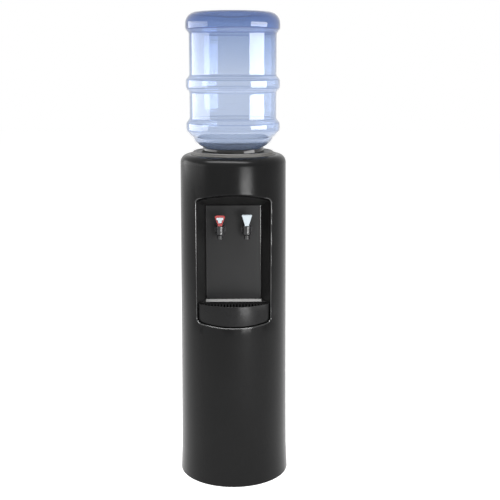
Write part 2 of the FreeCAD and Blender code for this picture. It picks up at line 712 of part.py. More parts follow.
def makePanel():
    body = padded("panelBlank", "XY_Plane", [
        ("-panelHalf", "-alcoveBack - panelThick"),
        ("panelHalf", "-alcoveBack - panelThick"),
        ("panelHalf", "-alcoveBack"),
        ("-panelHalf", "-alcoveBack"),
    ], "ceilingBack - ledgeHigh - 2 * seatGap", z="ledgeHigh + seatGap")
    face = worth("-alcoveBack - panelThick")
    rounded(body, "panelRound", lambda edge: all(isAt(end.Y, face) for end in edge.Vertexes)
            and isAt(edge.Vertexes[0].X, edge.Vertexes[1].X))
    holes = [rod(f"panelHole{side}", "shankRadius + 0.4", "4 * panelThick",
                 f"{side} * tapX", "-alcoveBack - 2 * panelThick", "shankHigh", "y") for side in (1, -1)]
    kept("splash_panel", without("panelDrilled", body, holes))


def trayPlan(name, inset, low, high):
    # the tray's outline seen from above, drawn in by the inset
    half = f"(openHalf - traySideGap - ({inset}))"
    front = f"(trayFront - ({inset}))"
    back = f"-(ledgeFront + trayBackGap + ({inset}))"
    taper = f"(trayTaperHalf - ({inset}))"
    return padded(name, "XY_Plane", [
        (half, f"-sqrt({front}^2 - {half}^2)", front, -1),
        (f"-{half}", f"-sqrt({front}^2 - {half}^2)"),
        (f"-{half}", "-alcoveTaperStart - trayWall"),
        (f"-{taper}", back),
        (taper, back),
        (half, "-alcoveTaperStart - trayWall"),
    ], f"({high}) - ({low})", z=low)


def makeTray():
    outside = shared("trayOutside", [
        frontSpace("trayFrontView", "-traySideGap"),
        trayPlan("trayBlank", "0", "openBottom", "trayTop"),
    ])
    hollow = shared("trayHollow", [
        frontSpace("trayHollowFront", "-(traySideGap + trayFloor)"),
        trayPlan("trayHollowPlan", "trayRim + grilleStep", "openBottom", "trayTop + 5"),
    ])
    seat = "trayTop - grilleDrop - grilleThick"
    recess = trayPlan("trayRecess", "trayRim", seat, "trayTop + 5")
    body = bodyOf("tray", without("trayOpen", outside, [hollow, recess]))
    top = worth("trayTop")
    rounded(body, "trayLipRound", lambda edge: all(isAt(end.Z, top) for end in edge.Vertexes))
    kept("drip_tray", body)


def makeGrille():
    low = "trayTop - grilleDrop - grilleThick + seatGap"
    high = "trayTop - grilleDrop + seatGap"
    plate = trayPlan("grillePlate", "trayRim + seatGap", low, high)
    half = worth("openHalf - traySideGap - trayRim - grilleEdge")
    count = int(half / worth("slotPitch"))
    slots = [block(f"slot{number}", "slotWide", "trayFront", "4 * grilleThick",
                   f"{number} * slotPitch - slotWide / 2", "-trayFront", f"{low} - grilleThick")
             for number in range(-count, count + 1)]
    comb = shared("grilleComb", [
        together("slots", slots),
        trayPlan("slotField", "trayRim + grilleEdge", "openBottom", "trayTop + 20"),
    ])
    kept("drip_grille", without("grilleCut", plate, [comb]))


# ---------------------------------------------------------------- collar, cup, bottle
def makeCollar():
    kept("collar_ring", turned("collar", [
        ("collarThroat", "cupFlangeThick + seatGap"),
        ("cupFlange + seatGap", "cupFlangeThick + seatGap"),
        ("cupFlange + seatGap", "0"),
        ("collarFoot", "0"),
        ("collarFoot", "collarFootHigh - collarEdge", "collarEdge", 1),
        ("collarFoot - collarEdge", "collarFootHigh"),
        ("collarLip", "collarFootHigh"),
        ("collarLip", "collarHigh - collarLipRound", "collarLipRound", 1),
        ("collarLip - collarLipRound", "collarHigh"),
        ("collarLip - collarLipWide", "collarHigh", "collarLipRound", 1),
        ("collarLip - collarLipWide - collarLipRound * 0.7", "collarHigh - collarLipRound * 0.3"),
        ("collarThroat", "collarThroatHigh"),
    ], z="deckHeight"))


def makeCup():
    kept("bottle_cup", turned("cup", [
        ("probeRadius + 0.3", "wellFloor - cupWall"),
        ("wellRadius + cupWall", "wellFloor - cupWall"),
        ("wellRadius + cupWall", "deckHeight - 17"),
        ("wellRadius + 14", "deckHeight - 8"),
        ("cupRim - 9", "deckHeight + cupRimHigh - 8.6"),
        ("cupRim - cupWall", "deckHeight + cupRimHigh - 5"),
        ("cupRim - cupWall", "deckHeight"),
        ("cupFlange", "deckHeight"),
        ("cupFlange", "deckHeight + cupFlangeThick"),
        ("cupRim", "deckHeight + cupFlangeThick"),
        ("cupRim", "deckHeight + cupRimHigh - 1.6", "1.6", 1),
        ("cupRim - 1.6", "deckHeight + cupRimHigh"),
        ("cupRim - cupWall", "deckHeight + cupRimHigh - 0.6"),
        ("cupRim - 9", "deckHeight + cupRimHigh - 5.8"),
        ("wellRadius + 14", "deckHeight - 5"),
        ("wellRadius + 4", "deckHeight - 12", "5", 1),
        ("wellRadius", "deckHeight - 16"),
        ("wellRadius", "wellFloor"),
        ("probeRadius + 0.3", "wellFloor"),
    ]))


def bottleSpace(name, inset):
    # the bottle's solid form drawn in by the inset, from the mouth up to the base
    lean = "(sqrt(ringRise^2 + ringFlank^2) - ringFlank) / ringRise"

    def point(radius, height, outward, upward, arc=None, turn=None):
        corner = (f"{radius} - ({inset}) * {outward}", f"{height} - ({inset}) * {upward}")
        return corner if arc is None else corner + (f"{arc} - ({inset}) * {turn}", turn)

    return turned(name, [
        ("0", "neckEnd"),
        (f"neckRadius - {inset}", "neckEnd"),
        (f"neckRadius - {inset}", "neckEnd + 58", f"14 + {inset}", -1),
        point("(neckRadius + 9)", "(neckEnd + 72)", 0.55, -0.83),
        point("(bottleRing - 56.3)", "(neckEnd + 100)", 0.4, -0.92, "65", 1),
        point("(bottleRing - 25.3)", "(neckEnd + 120)", 0.85, -0.53),
        point("bottleRing", "(neckEnd + 152)", 1, f"(0 - {lean})"),
        # the lower, middle and upper rings
        point("bottleRing", "(neckEnd + 174)", 1, lean),
        point("bottleRadius", "(neckEnd + 174 + ringFlank)", 1, lean),
        point("bottleRadius", "(neckEnd + 261.5)", 1, f"(0 - {lean})"),
        point("bottleRing", "(neckEnd + 261.5 + ringFlank)", 1, f"(0 - {lean})"),
        point("bottleRing", "(neckEnd + 308.5 - ringFlank)", 1, lean),
        point("bottleRadius", "(neckEnd + 308.5)", 1, lean),
        point("bottleRadius", "(bottleTop - 46.5 - ringFlank)", 1, f"(0 - {lean})"),
        point("bottleRing", "(bottleTop - 46.5)", 1, f"(0 - {lean})"),
        point("bottleRing", "(bottleTop - bottleCorner)", 1, 0, "bottleCorner", 1),
        point("(bottleRing - bottleCorner)", "bottleTop", 0, 1),
        point("(bottleRing - 60.3)", "bottleTop", 0, 1),
        ("0", f"bottleTop - 10 - {inset}"),
    ])


def makeBottle():
    inside = together("bottleHollow", [
        bottleSpace("bottleInside", "bottleWall"),
        rod("bottleMouth", "neckRadius - bottleWall", "10", "0", "0", "neckEnd - 5"),
    ])
    kept("bottle", without("bottleShell", bottleSpace("bottleOutside", "0"), [inside]))
    kept("bottle_cap", turned("cap", [
        ("probeRadius + 1.2", "neckEnd - 2.5"),
        ("capRadius", "neckEnd - 2.5"),
        ("capRadius", "neckEnd + capSkirt"),
        ("neckRadius + 0.2", "neckEnd + capSkirt"),
        ("neckRadius + 0.2", "neckEnd"),
        ("probeRadius + 3", "neckEnd"),
        ("probeRadius + 3", "neckEnd + 16"),
        ("probeRadius + 1.2", "neckEnd + 16"),
    ]))


def makeProbe():
    blank = turned("probeBlank", [
        ("probeRadius - 2.2", "coldTop - 12"),
        ("probeRadius", "coldTop - 12"),
        ("probeRadius", "wellFloor"),
        ("probeRadius + 8", "wellFloor"),
        ("probeRadius + 8", "wellFloor + 2.5"),
        ("probeRadius", "wellFloor + 2.5"),
        ("probeRadius", "probeTop - 7", "9", 1),
        ("1.5", "probeTop"),
        ("0", "probeTop"),
        ("0", "probeTop - 2.5"),
        ("probeRadius - 2.2", "probeTop - 8"),
    ])
    ports = [block("portAcross", "4 * probeRadius", "5", "14", "-2 * probeRadius", "-2.5", "probeTop - 24"),
             block("portAlong", "5", "4 * probeRadius", "14", "-2.5", "-2 * probeRadius", "probeTop - 24")]
    kept("feed_probe", without("probePorted", blank, ports))


# ---------------------------------------------------------------- tanks
coldWallY = "(tankY - sqrt(coldRadius^2 - tapX^2))"
hotFoot = "(hotShelfHigh + jacketWall + 2.3)"
hotTop = f"({hotFoot} + hotHigh)"
jacketTop = "(hotShelfHigh + jacketHigh)"


def makeColdSide():
    shell = turned("coldShell", [
        ("stubRadius - tankWall", "shelfHigh - 18"),
        ("stubRadius", "shelfHigh - 18"),
        ("stubRadius", "coldFoot"),
        ("coldRadius - 6", "coldFoot", "6", 1),
        ("coldRadius", "coldFoot + 6"),
        ("coldRadius", "coldTop"),
        ("coldRadius - tankWall", "coldTop"),
        ("coldRadius - tankWall", "coldFoot + 6", "6 - tankWall", -1),
        ("coldRadius - 6", "coldFoot + tankWall"),
        ("stubRadius - tankWall", "coldFoot + tankWall"),
    ], y="tankY")
    # the outlet stub meets the front wall off the axis
    stub = rod("coldStub", "hoseStub", "18", "tapX", f"{coldWallY} - 14", "shankHigh", "y")
    stubBore = rod("coldStubBore", "hoseStub - tankWall", "40", "tapX", f"{coldWallY} - 20", "shankHigh", "y")
    inside = rod("coldInside", "coldRadius - tankWall", "coldHigh", "0", "tankY", "coldFoot + 8")
    kept("cold_tank", without("coldBored", together("coldWhole", [
        shell, without("stubTrimmed", stub, [inside])]), [stubBore]))
    foam = turned("foamCup", [
        ("stubHole", "shelfHigh"),
        ("foamRadius", "shelfHigh"),
        ("foamRadius", "coldTop"),
        ("foamRadius - foamWall", "coldTop"),
        ("foamRadius - foamWall", "coldFoot - seatGap"),
        ("stubHole", "coldFoot - seatGap"),
    ], y="tankY")
    holes = [rod("foamColdHole", "hoseHole", "foamRadius", "tapX", "-foamRadius", "shankHigh", "y")]
    for side, radius in ((1, "suctionTube + 0.3"), (-1, "capillaryTube + 0.3")):
        hole = doc.addObject("Part::Cylinder", f"foamLineHole{side}")
        hole.setExpression("Radius", bound(radius))
        hole.setExpression("Height", bound("foamRadius + 10"))
        hole.Placement = FreeCAD.Placement(Vector(0, worth("tankY"), worth("suctionIn")), lineHeading(side))
        holes.append(hole)
    kept("cold_insulation", without("foamDrilled", foam, holes))
    lid = turned("lidDisc", [
        ("0", "0"), ("foamRadius", "0"), ("foamRadius", "lidThick"), ("0", "lidThick"),
    ], y="tankY", z="coldTop")
    nozzle = rod("lidNozzle", "probeRadius + 9", "wellFloor - cupWall - coldTop", "0", "0", "coldTop")
    kept("tank_lid", without("lidBored", together("lidWhole", [lid, nozzle]), [
        rod("lidBore", "probeRadius + 0.2", "60", "0", "0", "coldTop - 20")]))
    kept("tank_baffle", turned("baffle", [
        ("3.6", "coldFoot + tankWall + seatGap"),
        ("9", "coldFoot + tankWall + seatGap"),
        ("6", "coldFoot + 14"),
        ("6", "coldFoot + coldHigh / 2"),
        ("coldRadius - tankWall - 0.4", "coldFoot + coldHigh / 2"),
        ("coldRadius - tankWall - 0.4", "coldFoot + coldHigh / 2 + 2.5"),
        ("3.6", "coldFoot + coldHigh / 2 + 2.5"),
    ], y="tankY"))
    coil = coiled("evaporator", worth("coldRadius + coilTube + seatGap"), worth("coilPitch"),
                  worth("coilTurns"), worth("coilTube"))
    kept("evaporator_coil", placed(coil, "0", "tankY", "coldFoot + 6 + coilTube"))


def lineHeading(side):
    # from the tank axis towards the riser beside it
    heading = Vector(side * worth("riserX"), worth("riserY - tankY"), 0)
    return FreeCAD.Rotation(Vector(0, 0, 1), heading)


def makeHotSide():
    bore = "stubRadius - tankWall"
    shell = turned("hotShell", [
        ("0", hotFoot),
        ("hotRadius - 10", hotFoot, "10", 1),
        ("hotRadius", f"{hotFoot} + 10"),
        ("hotRadius", f"{hotTop} - 10", "10", 1),
        ("hotRadius - 10", hotTop),
        ("stubRadius", hotTop),
        ("stubRadius", f"{hotTop} + 20"),
        (bore, f"{hotTop} + 20"),
        (bore, f"{hotTop} - tankWall"),
        ("hotRadius - 10", f"{hotTop} - tankWall", "10 - tankWall", -1),
        ("hotRadius - tankWall", f"{hotTop} - 10"),
        ("hotRadius - tankWall", f"{hotFoot} + 10", "10 - tankWall", -1),
        ("hotRadius - 10", f"{hotFoot} + tankWall"),
        ("0", f"{hotFoot} + tankWall"),
    ], y="tankY")
    outlet = rod("hotOutlet", "hoseStub", "17", "-hotOutX", "hotOutY", f"{hotTop} - tankWall")
    bored = rod("hotOutletBore", "hoseStub - tankWall", "40", "-hotOutX", "hotOutY", f"{hotTop} - 10")
    kept("hot_tank", without("hotBored", together("hotWhole", [shell, outlet]), [bored]))
    jacket = turned("jacketShell", [
        ("0", "hotShelfHigh"),
        ("jacketRadius", "hotShelfHigh"),
        ("jacketRadius", jacketTop),
        ("hoseHole", jacketTop),
        ("hoseHole", f"{jacketTop} - jacketWall"),
        ("jacketRadius - jacketWall", f"{jacketTop} - jacketWall"),
        ("jacketRadius - jacketWall", "hotShelfHigh + jacketWall + 2"),
        ("0", "hotShelfHigh + jacketWall + 2"),
    ], y="tankY")
    kept("hot_insulation", without("jacketDrilled", jacket, [
        rod("jacketOutHole", "hoseHole", "60", "-hotOutX", "hotOutY", f"{jacketTop} - 30")]))
    inner = "hotRadius + seatGap"
    kept("heater_band", turned("band", [
        (inner, f"{hotFoot} + 42"),
        (f"{inner} + bandThick", f"{hotFoot} + 42"),
        (f"{inner} + bandThick", f"{hotFoot} + 42 + bandHigh"),
        (inner, f"{hotFoot} + 42 + bandHigh"),
    ], y="tankY"))
    discs = [turned(f"thermostat{number}", [
        ("0", f"{hotTop} + 0.1"), ("8.5", f"{hotTop} + 0.1"), ("8.5", f"{hotTop} + 5"),
        ("6", f"{hotTop} + 5"), ("6", f"{hotTop} + 8"), ("0", f"{hotTop} + 8"),
    ], x=x, y=y) for number, (x, y) in enumerate((("22", "tankY + 14"), ("22", "tankY - 14")))]
    kept("hot_thermostats", grouped("thermostats", discs))
    kept("hot_feed_hose", turned("feedHose", [
        ("hoseBore", f"{hotTop} + 3"),
        ("hoseRadius", f"{hotTop} + 3"),
        ("hoseRadius", "shelfHigh - sheetThick - 1"),
        ("hoseBore", "shelfHigh - sheetThick - 1"),
    ], y="tankY"))


# ---------------------------------------------------------------- chassis
def makeChassis():
    seat = "rimGap + shellWall"
    kept("base_pan", turned("pan", [
        ("0", "panRise"),
        ("footFlange - 10", "panRise"),
        ("footFlange - 2", "0"),
        ("footFlange + 13", "0"),
        ("footFlange + 13", "panSeat"),
        ("footFlange - 1", "panSeat"),
        ("footFlange - 9", "panRise + panSeat"),
        ("0", "panRise + panSeat"),
    ], z=seat))
    feet = [turned(f"foot{number}", [
        ("0", "0"), ("footPad", "0"), ("footPad", "rimGap"), ("footStem", "rimGap"),
        ("footStem", f"{seat} - 0.2"), ("0", f"{seat} - 0.2"),
    ], x=x, y=y) for number, (x, y) in enumerate(footPlaces)]
    kept("foot_pads", grouped("feet", feet))
    panTop = f"{seat} + panRise + panSeat"
    posts = []
    for side in (1, -1):
        inner = f"{side} * postX"
        outer = f"{side} * (postX + postDeep)"
        thick = f"{side} * (postX + sheetThick)"
        posts.append(padded(f"post{side}", "XY_Plane", [
            (inner, "-postWide / 2"),
            (outer, "-postWide / 2"),
            (outer, "-postWide / 2 + sheetThick"),
            (thick, "-postWide / 2 + sheetThick"),
            (thick, "postWide / 2 - sheetThick"),
            (outer, "postWide / 2 - sheetThick"),
            (outer, "postWide / 2"),
            (inner, "postWide / 2"),
        ], f"shelfHigh - sheetThick - ({panTop})", y="tankY", z=panTop))
    kept("frame_posts", grouped("posts", posts))

    def plate(name, half, high):
        # a shelf with its corners cut off
        return padded(name, "XY_Plane", [
            (f"-{half} + shelfCorner", "-shelfHalfDeep"),
            (f"{half} - shelfCorner", "-shelfHalfDeep"),
            (half, "-shelfHalfDeep + shelfCorner"),
            (half, "shelfHalfDeep - shelfCorner"),
            (f"{half} - shelfCorner", "shelfHalfDeep"),
            (f"-{half} + shelfCorner", "shelfHalfDeep"),
            (f"-{half}", "shelfHalfDeep - shelfCorner"),
            (f"-{half}", "-shelfHalfDeep + shelfCorner"),
        ], "sheetThick", y="tankY", z=f"{high} - sheetThick")

    kept("cold_shelf", without("coldShelfDrilled", plate("coldPlate", "(postX + postDeep)", "shelfHigh"), [
        rod("shelfStubHole", "stubHole", "40", "0", "tankY", "shelfHigh - 20")]))
    flanges = [block(f"shelfFlange{side}", "sheetThick", "2 * (shelfHalfDeep - shelfCorner)", "16",
                     f"{side} * (postX - 0.2 - sheetThick / 2) - sheetThick / 2",
                     "tankY - shelfHalfDeep + shelfCorner", "hotShelfHigh - 16") for side in (1, -1)]
    hotPlate = together("hotShelfWhole", [plate("hotPlate", "(postX - 0.2)", "hotShelfHigh")] + flanges)
    kept("hot_shelf", without("hotShelfNotched", hotPlate, [
        rod("riserNotch", "dischargeTube + 2", "40", "-dischargeX", "riserY", "hotShelfHigh - 20")]))


def makeCompressor():
    panTop = "(rimGap + shellWall + panRise + panSeat)"
    foot = f"({panTop} + mountHigh)"
    plate = padded("potPlate", "XY_Plane", [
        ("-mountX - 12", "-mountY - 12"),
        ("mountX + 12", "-mountY - 12"),
        ("mountX + 12", "mountY + 12"),
        ("-mountX - 12", "mountY + 12"),
    ], "footThick", y="potY", z=foot)
    rounded(plate, "9", lambda edge: isAt(edge.Vertexes[0].X, edge.Vertexes[1].X)
            and isAt(edge.Vertexes[0].Y, edge.Vertexes[1].Y))
    base = f"({foot} + footThick)"
    pot = turned("pot", [
        ("0", f"{base} - 1"),
        ("potRadius - 22", f"{base} - 1", "22", 1),
        ("potRadius", f"{base} + 21"),
        ("potRadius", f"{base} + 62"),
        ("potRadius + 3", f"{base} + 62"),
        ("potRadius + 3", f"{base} + 68"),
        ("potRadius", f"{base} + 68"),
        ("potRadius", f"{base} + potHigh - 45", "52", 1),
        ("0.45 * potRadius", f"{base} + potHigh"),
        ("0", f"{base} + potHigh + 2"),
    ], y="potY")
    places = [(f"{side} * mountX", f"potY + {end} * mountY") for side in (1, -1) for end in (1, -1)]
    holes = [rod(f"potHole{number}", "5.3", "20", x, y, f"{foot} - 8")
             for number, (x, y) in enumerate(places)]
    stubFoot = f"{base} + potHigh - 32"
    stubs = [rod("suctionStub", "suctionTube", "30", "potStub", "potY + potStub", stubFoot),
             rod("dischargeStub", "dischargeTube", "30", "-potStub", "potY + potStub", stubFoot)]
    kept("compressor", without("potDrilled", together("potWhole", [plate, pot] + stubs), holes))
    mounts = [turned(f"mount{number}", [
        ("3.4", panTop), ("10", panTop), ("10", foot), ("5", foot), ("5", f"{foot} + footThick"),
        ("8", f"{foot} + footThick"), ("8", f"{foot} + footThick + 3"), ("3.4", f"{foot} + footThick + 3"),
    ], x=x, y=y) for number, (x, y) in enumerate(places)]
    kept("compressor_mounts", grouped("mounts", mounts))
    bolts = [turned(f"bolt{number}", [
        ("0", panTop), ("3", panTop), ("3", f"{foot} + footThick + 3.1"),
        ("7.5", f"{foot} + footThick + 3.1"),
        ("7.5", f"{foot} + footThick + 4.6"), ("5.5", f"{foot} + footThick + 4.6"),
        ("5.5", f"{foot} + footThick + 9"), ("0", f"{foot} + footThick + 9"),
    ], x=x, y=y) for number, (x, y) in enumerate(places)]
    kept("compressor_bolts", grouped("bolts", bolts))
    relay = block("relayBlock", "38", "46", "48", "potRadius - 8", "potY - 23", f"{base} + 10")
    kept("relay_cover", without("relayCut", relay, [
        rod("relaySaddle", "potRadius + seatGap", "200", "0", "potY", foot)]))


# ---------------------------------------------------------------- condenser and lines
condY = "(rearLipY + barThick + 2 * wireRadius + condTube + 0.1)"


def makeCondenser():
    runs = int(worth("condRuns"))
    route = [("-condHalf - 2", condY, "condLow")]
    for number in range(runs - 1):
        side = "1" if number % 2 == 0 else "-1"
        edge = f"{side} * (condHalf + condPitch / 2)"
        route.append((edge, condY, f"condLow + {number} * condPitch"))
        route.append((edge, condY, f"condLow + {number + 1} * condPitch"))
    last = -1 if runs % 2 == 0 else 1
    route.append((f"{last} * (condHalf + 2)", condY, f"condLow + {runs - 1} * condPitch"))
    kept("condenser_tube", tube("condenserTube", route, worth("condTube"), worth("condPitch / 2")))
    count = int(worth("condHalf / wirePitch"))
    wires = [rod(f"wire{layer}{number}", "wireRadius", "(condRuns - 1) * condPitch + 2 * wireOver",
                 f"{number} * wirePitch", f"{condY} + {layer} * (condTube + wireRadius + 0.05)",
                 "condLow - wireOver")
             for layer in (-1, 1) for number in range(-count, count + 1)]
    kept("condenser_wires", grouped("wires", wires))
    bars = []
    screws = []
    for height in ("barLow", "barTop"):
        bar = block(f"bar{height}", "2 * barHalf", "barThick", "barHigh", "-barHalf", "rearLipY",
                    f"{height} - barHigh / 2")
        holes = [rod(f"barHole{height}{side}", "screwRadius + 0.3", "20", f"{side} * tabX", "rearLipY - 10",
                     height, "y") for side in (1, -1)]
        bars.append(without(f"barDrilled{height}", bar, holes))
        for side in (1, -1):
            screw = turned(f"screw{height}{side}", [
                ("0", "-10"), ("screwRadius", "-10"), ("screwRadius", "barThick + 0.1"),
                ("3.4", "barThick + 0.1"), ("3.4", "barThick + 1.4"), ("2", "barThick + 2.4"),
                ("0", "barThick + 2.4")], x=f"{side} * tabX", y="rearLipY", z=height, turn=ALONG["y"])
            screws.append(screw)
    kept("condenser_bars", grouped("bars", bars))
    kept("bar_screws", grouped("screws", screws))


def makeLines():
    potTop = "(rimGap + shellWall + panRise + panSeat + mountHigh + footThick + potHigh)"
    reach = "(coldRadius + 2 * coilTube + seatGap + 0.4)"
    span = "sqrt(riserX^2 + (riserY - tankY)^2)"
    endX = f"riserX * {reach} / {span}"
    endY = f"tankY + (riserY - tankY) * {reach} / {span}"
    stubTop = f"{potTop} - 2"
    kept("suction_line", tube("suctionLine", [
        ("potStub", "potY + potStub", stubTop),
        ("potStub", "potY + potStub", f"{stubTop} + 30"),
        ("riserX", "riserY", f"{stubTop} + 60"),
        ("riserX", "riserY", "suctionIn"),
        (endX, endY, "suctionIn"),
    ], worth("suctionTube"), 13))
    kept("discharge_line", tube("dischargeLine", [
        ("-potStub", "potY + potStub", stubTop),
        ("-potStub", "potY + potStub", f"{stubTop} + 30"),
        ("-dischargeX", "riserY", f"{stubTop} + 50"),
        ("-dischargeX", "riserY", "condTop"),
        ("-dischargeX", condY, "condTop"),
        ("-condHalf - 2.1", condY, "condTop"),
    ], worth("dischargeTube"), 9))
    drierFoot = "condLow + 120"
    kept("liquid_line", tube("liquidLine", [
        ("-condHalf - 2.1", condY, "condLow"),
        ("-dischargeX + 4", condY, "condLow"),
        ("-dischargeX + 4", "riserY", "condLow"),
        ("-riserX", "riserY", "condLow"),
        ("-riserX", "riserY", drierFoot),
    ], worth("dischargeTube"), 9))
    kept("filter_drier", turned("drier", [
        ("0", "0.1"), ("4", "0.1"), ("9", "9"), ("9", "78"), ("3", "90"), ("0", "90"),
    ], x="-riserX", y="riserY", z=drierFoot))
    kept("capillary_line", tube("capillaryLine", [
        ("-riserX", "riserY", f"{drierFoot} + 90.1"),
        ("-riserX", "riserY", "suctionIn"),
        (f"-{endX}", endY, "suctionIn"),
    ], worth("capillaryTube"), 8))
    kept("hot_hose", tube("hotHose", [
        ("-tapX", "-shankEnd - 5.5", "shankHigh - 13"),
        ("-tapX", "-shankEnd - 5.5", f"{jacketTop} + 14"),
        ("-hotOutX", "hotOutY", f"{jacketTop} + 14"),
        ("-hotOutX", "hotOutY", f"{hotTop} + 3"),
    ], worth("hoseStub + 2"), 13, worth("hoseStub + 0.2")))
    hose = rod("coldHoseOut", "hoseStub + 2", f"{coldWallY} - 5 + nutBack - 1", "tapX", "-nutBack + 1",
               "shankHigh", "y")
    kept("cold_hose", without("coldHose", hose, [
        rod("coldHoseBore", "hoseStub + 0.2", "100", "tapX", "-nutBack - 10", "shankHigh", "y")]))


# ---------------------------------------------------------------- taps
pinHigh = "(chamberTop + bonnetHigh + seatGap + heelHigh)"
seatHigh = "(chamberTop - 15)"
fullTurn = "(tiltMax * pi / 180)"
paddleFootY = "-13"
paddleFootZ = "-2"


bonnets = []


def makeTap(side, name):
    middle = f"{side} * tapX"
    chamber = turned(name + "Chamber", [
        ("spoutRadius - 2", "spoutEnd"),
        ("spoutRadius", "spoutEnd"),
        ("spoutRadius + 0.8", "chamberTop - 21"),
        ("chamberRadius", "chamberTop - 17"),
        ("chamberRadius", "chamberTop"),
        ("9", "chamberTop"),
        ("9", seatHigh),
        ("4.2", seatHigh),
        ("4.2", f"{seatHigh} - 3"),
        ("spoutRadius - 2", f"{seatHigh} - 5"),
    ], x=middle, y="-tapY")
    flangeY = "(-alcoveBack - panelThick - 4.1)"
    solids = [
        chamber,
        rod(name + "Shank", "shankRadius", "tapY - 6 - nutBack", middle, "-tapY + 6", "shankHigh", "y"),
        rod(name + "Barb", "hoseStub", "nutBack - shankEnd", middle, "-nutBack", "shankHigh", "y"),
        rod(name + "Flange", "flangeRadius", "4", middle, flangeY, "shankHigh", "y"),
    ]
    bores = [
        rod(name + "Cavity", "9", "40", middle, "-tapY", seatHigh),
        rod(name + "Bore", "hoseStub - 1.2", "tapY - shankEnd + 1", middle, "-tapY", "shankHigh", "y"),
    ]
    if side < 0:
        # the hot shank ends in an elbow that points down
        solids[2] = rod(name + "Boss", "hoseStub + 1", "nutBack - shankEnd - 0.4", middle, "-nutBack",
                        "shankHigh", "y")
        solids.append(rod(name + "Elbow", "hoseStub", "19", middle, "-shankEnd - 5.5", "shankHigh - 19"))
        bores[1] = rod(name + "Bore", "hoseStub - 1.2", "tapY - shankEnd - 2", middle, "-tapY",
                       "shankHigh", "y")
        bores.append(rod(name + "ElbowBore", "hoseStub - 1.4", "20", middle, "-shankEnd - 5.5",
                         "shankHigh - 20"))
    kept(name + "_faucet_body", without(name + "Body", together(name + "Whole", solids), bores))
    top = "chamberTop + bonnetHigh"
    bonnets.append(turned(name + "Bonnet", [
        ("7", "chamberTop - 3"),
        ("8.9", "chamberTop - 3"),
        ("8.9", "chamberTop"),
        ("bonnetRadius", "chamberTop"),
        ("bonnetRadius", f"{top} - 2", "2", 1),
        ("bonnetRadius - 2", top),
        ("stemRadius + seatGap", top),
        ("stemRadius + seatGap", f"{top} - 2.7"),
        ("7", f"{top} - 2.7"),
    ], x=middle, y="-tapY"))
    stem = turned(name + "StemRod", [
        ("0", f"{seatHigh} + 4"),
        ("4.5", f"{seatHigh} + 4"),
        ("4.5", f"{seatHigh} + 5.6"),
        ("stemRadius", f"{seatHigh} + 5.6"),
        ("stemRadius", pinHigh),
        ("0", pinHigh),
    ], x=middle, y="-tapY")
    eye = rod(name + "Eye", "eyeRadius", "eyeThick", f"{middle} - eyeThick / 2", "-tapY", pinHigh, "x")
    kept(name + "_stem", without(name + "Stem", together(name + "StemWhole", [stem, eye]), [
        rod(name + "EyeHole", "pinRadius + 0.02", "20", f"{middle} - 10", "-tapY", pinHigh, "x")]))
    kept(name + "_lever_pin", rod(name + "Pin", "pinRadius", "2 * leverFootHalf - 0.6",
                                  f"{middle} - leverFootHalf + 0.3", "-tapY", pinHigh, "x"))
    kept(name + "_seat_cup", turned(name + "SeatCup", [
        ("0", f"{seatHigh} + seatGap"),
        ("7.5", f"{seatHigh} + seatGap"),
        ("7.5", f"{seatHigh} + 7.2"),
        ("stemRadius + 0.1", f"{seatHigh} + 7.2"),
        ("stemRadius + 0.1", f"{seatHigh} + 5.7"),
        ("4.6", f"{seatHigh} + 5.7"),
        ("4.6", f"{seatHigh} + 3.9"),
        ("0", f"{seatHigh} + 3.9"),
    ], x=middle, y="-tapY"))
    low = f"{seatHigh} + 7.2 + springWire + springGap"
    high = f"{top} - 2.7 - springWire - springGap"
    spring = coiled(name + "Coil", worth("springRadius"), worth(f"(({high}) - ({low})) / springTurns"),
                    worth("springTurns"), worth("springWire"))
    kept(name + "_spring", placed(spring, middle, "-tapY", low))
    makeLever(side, name)


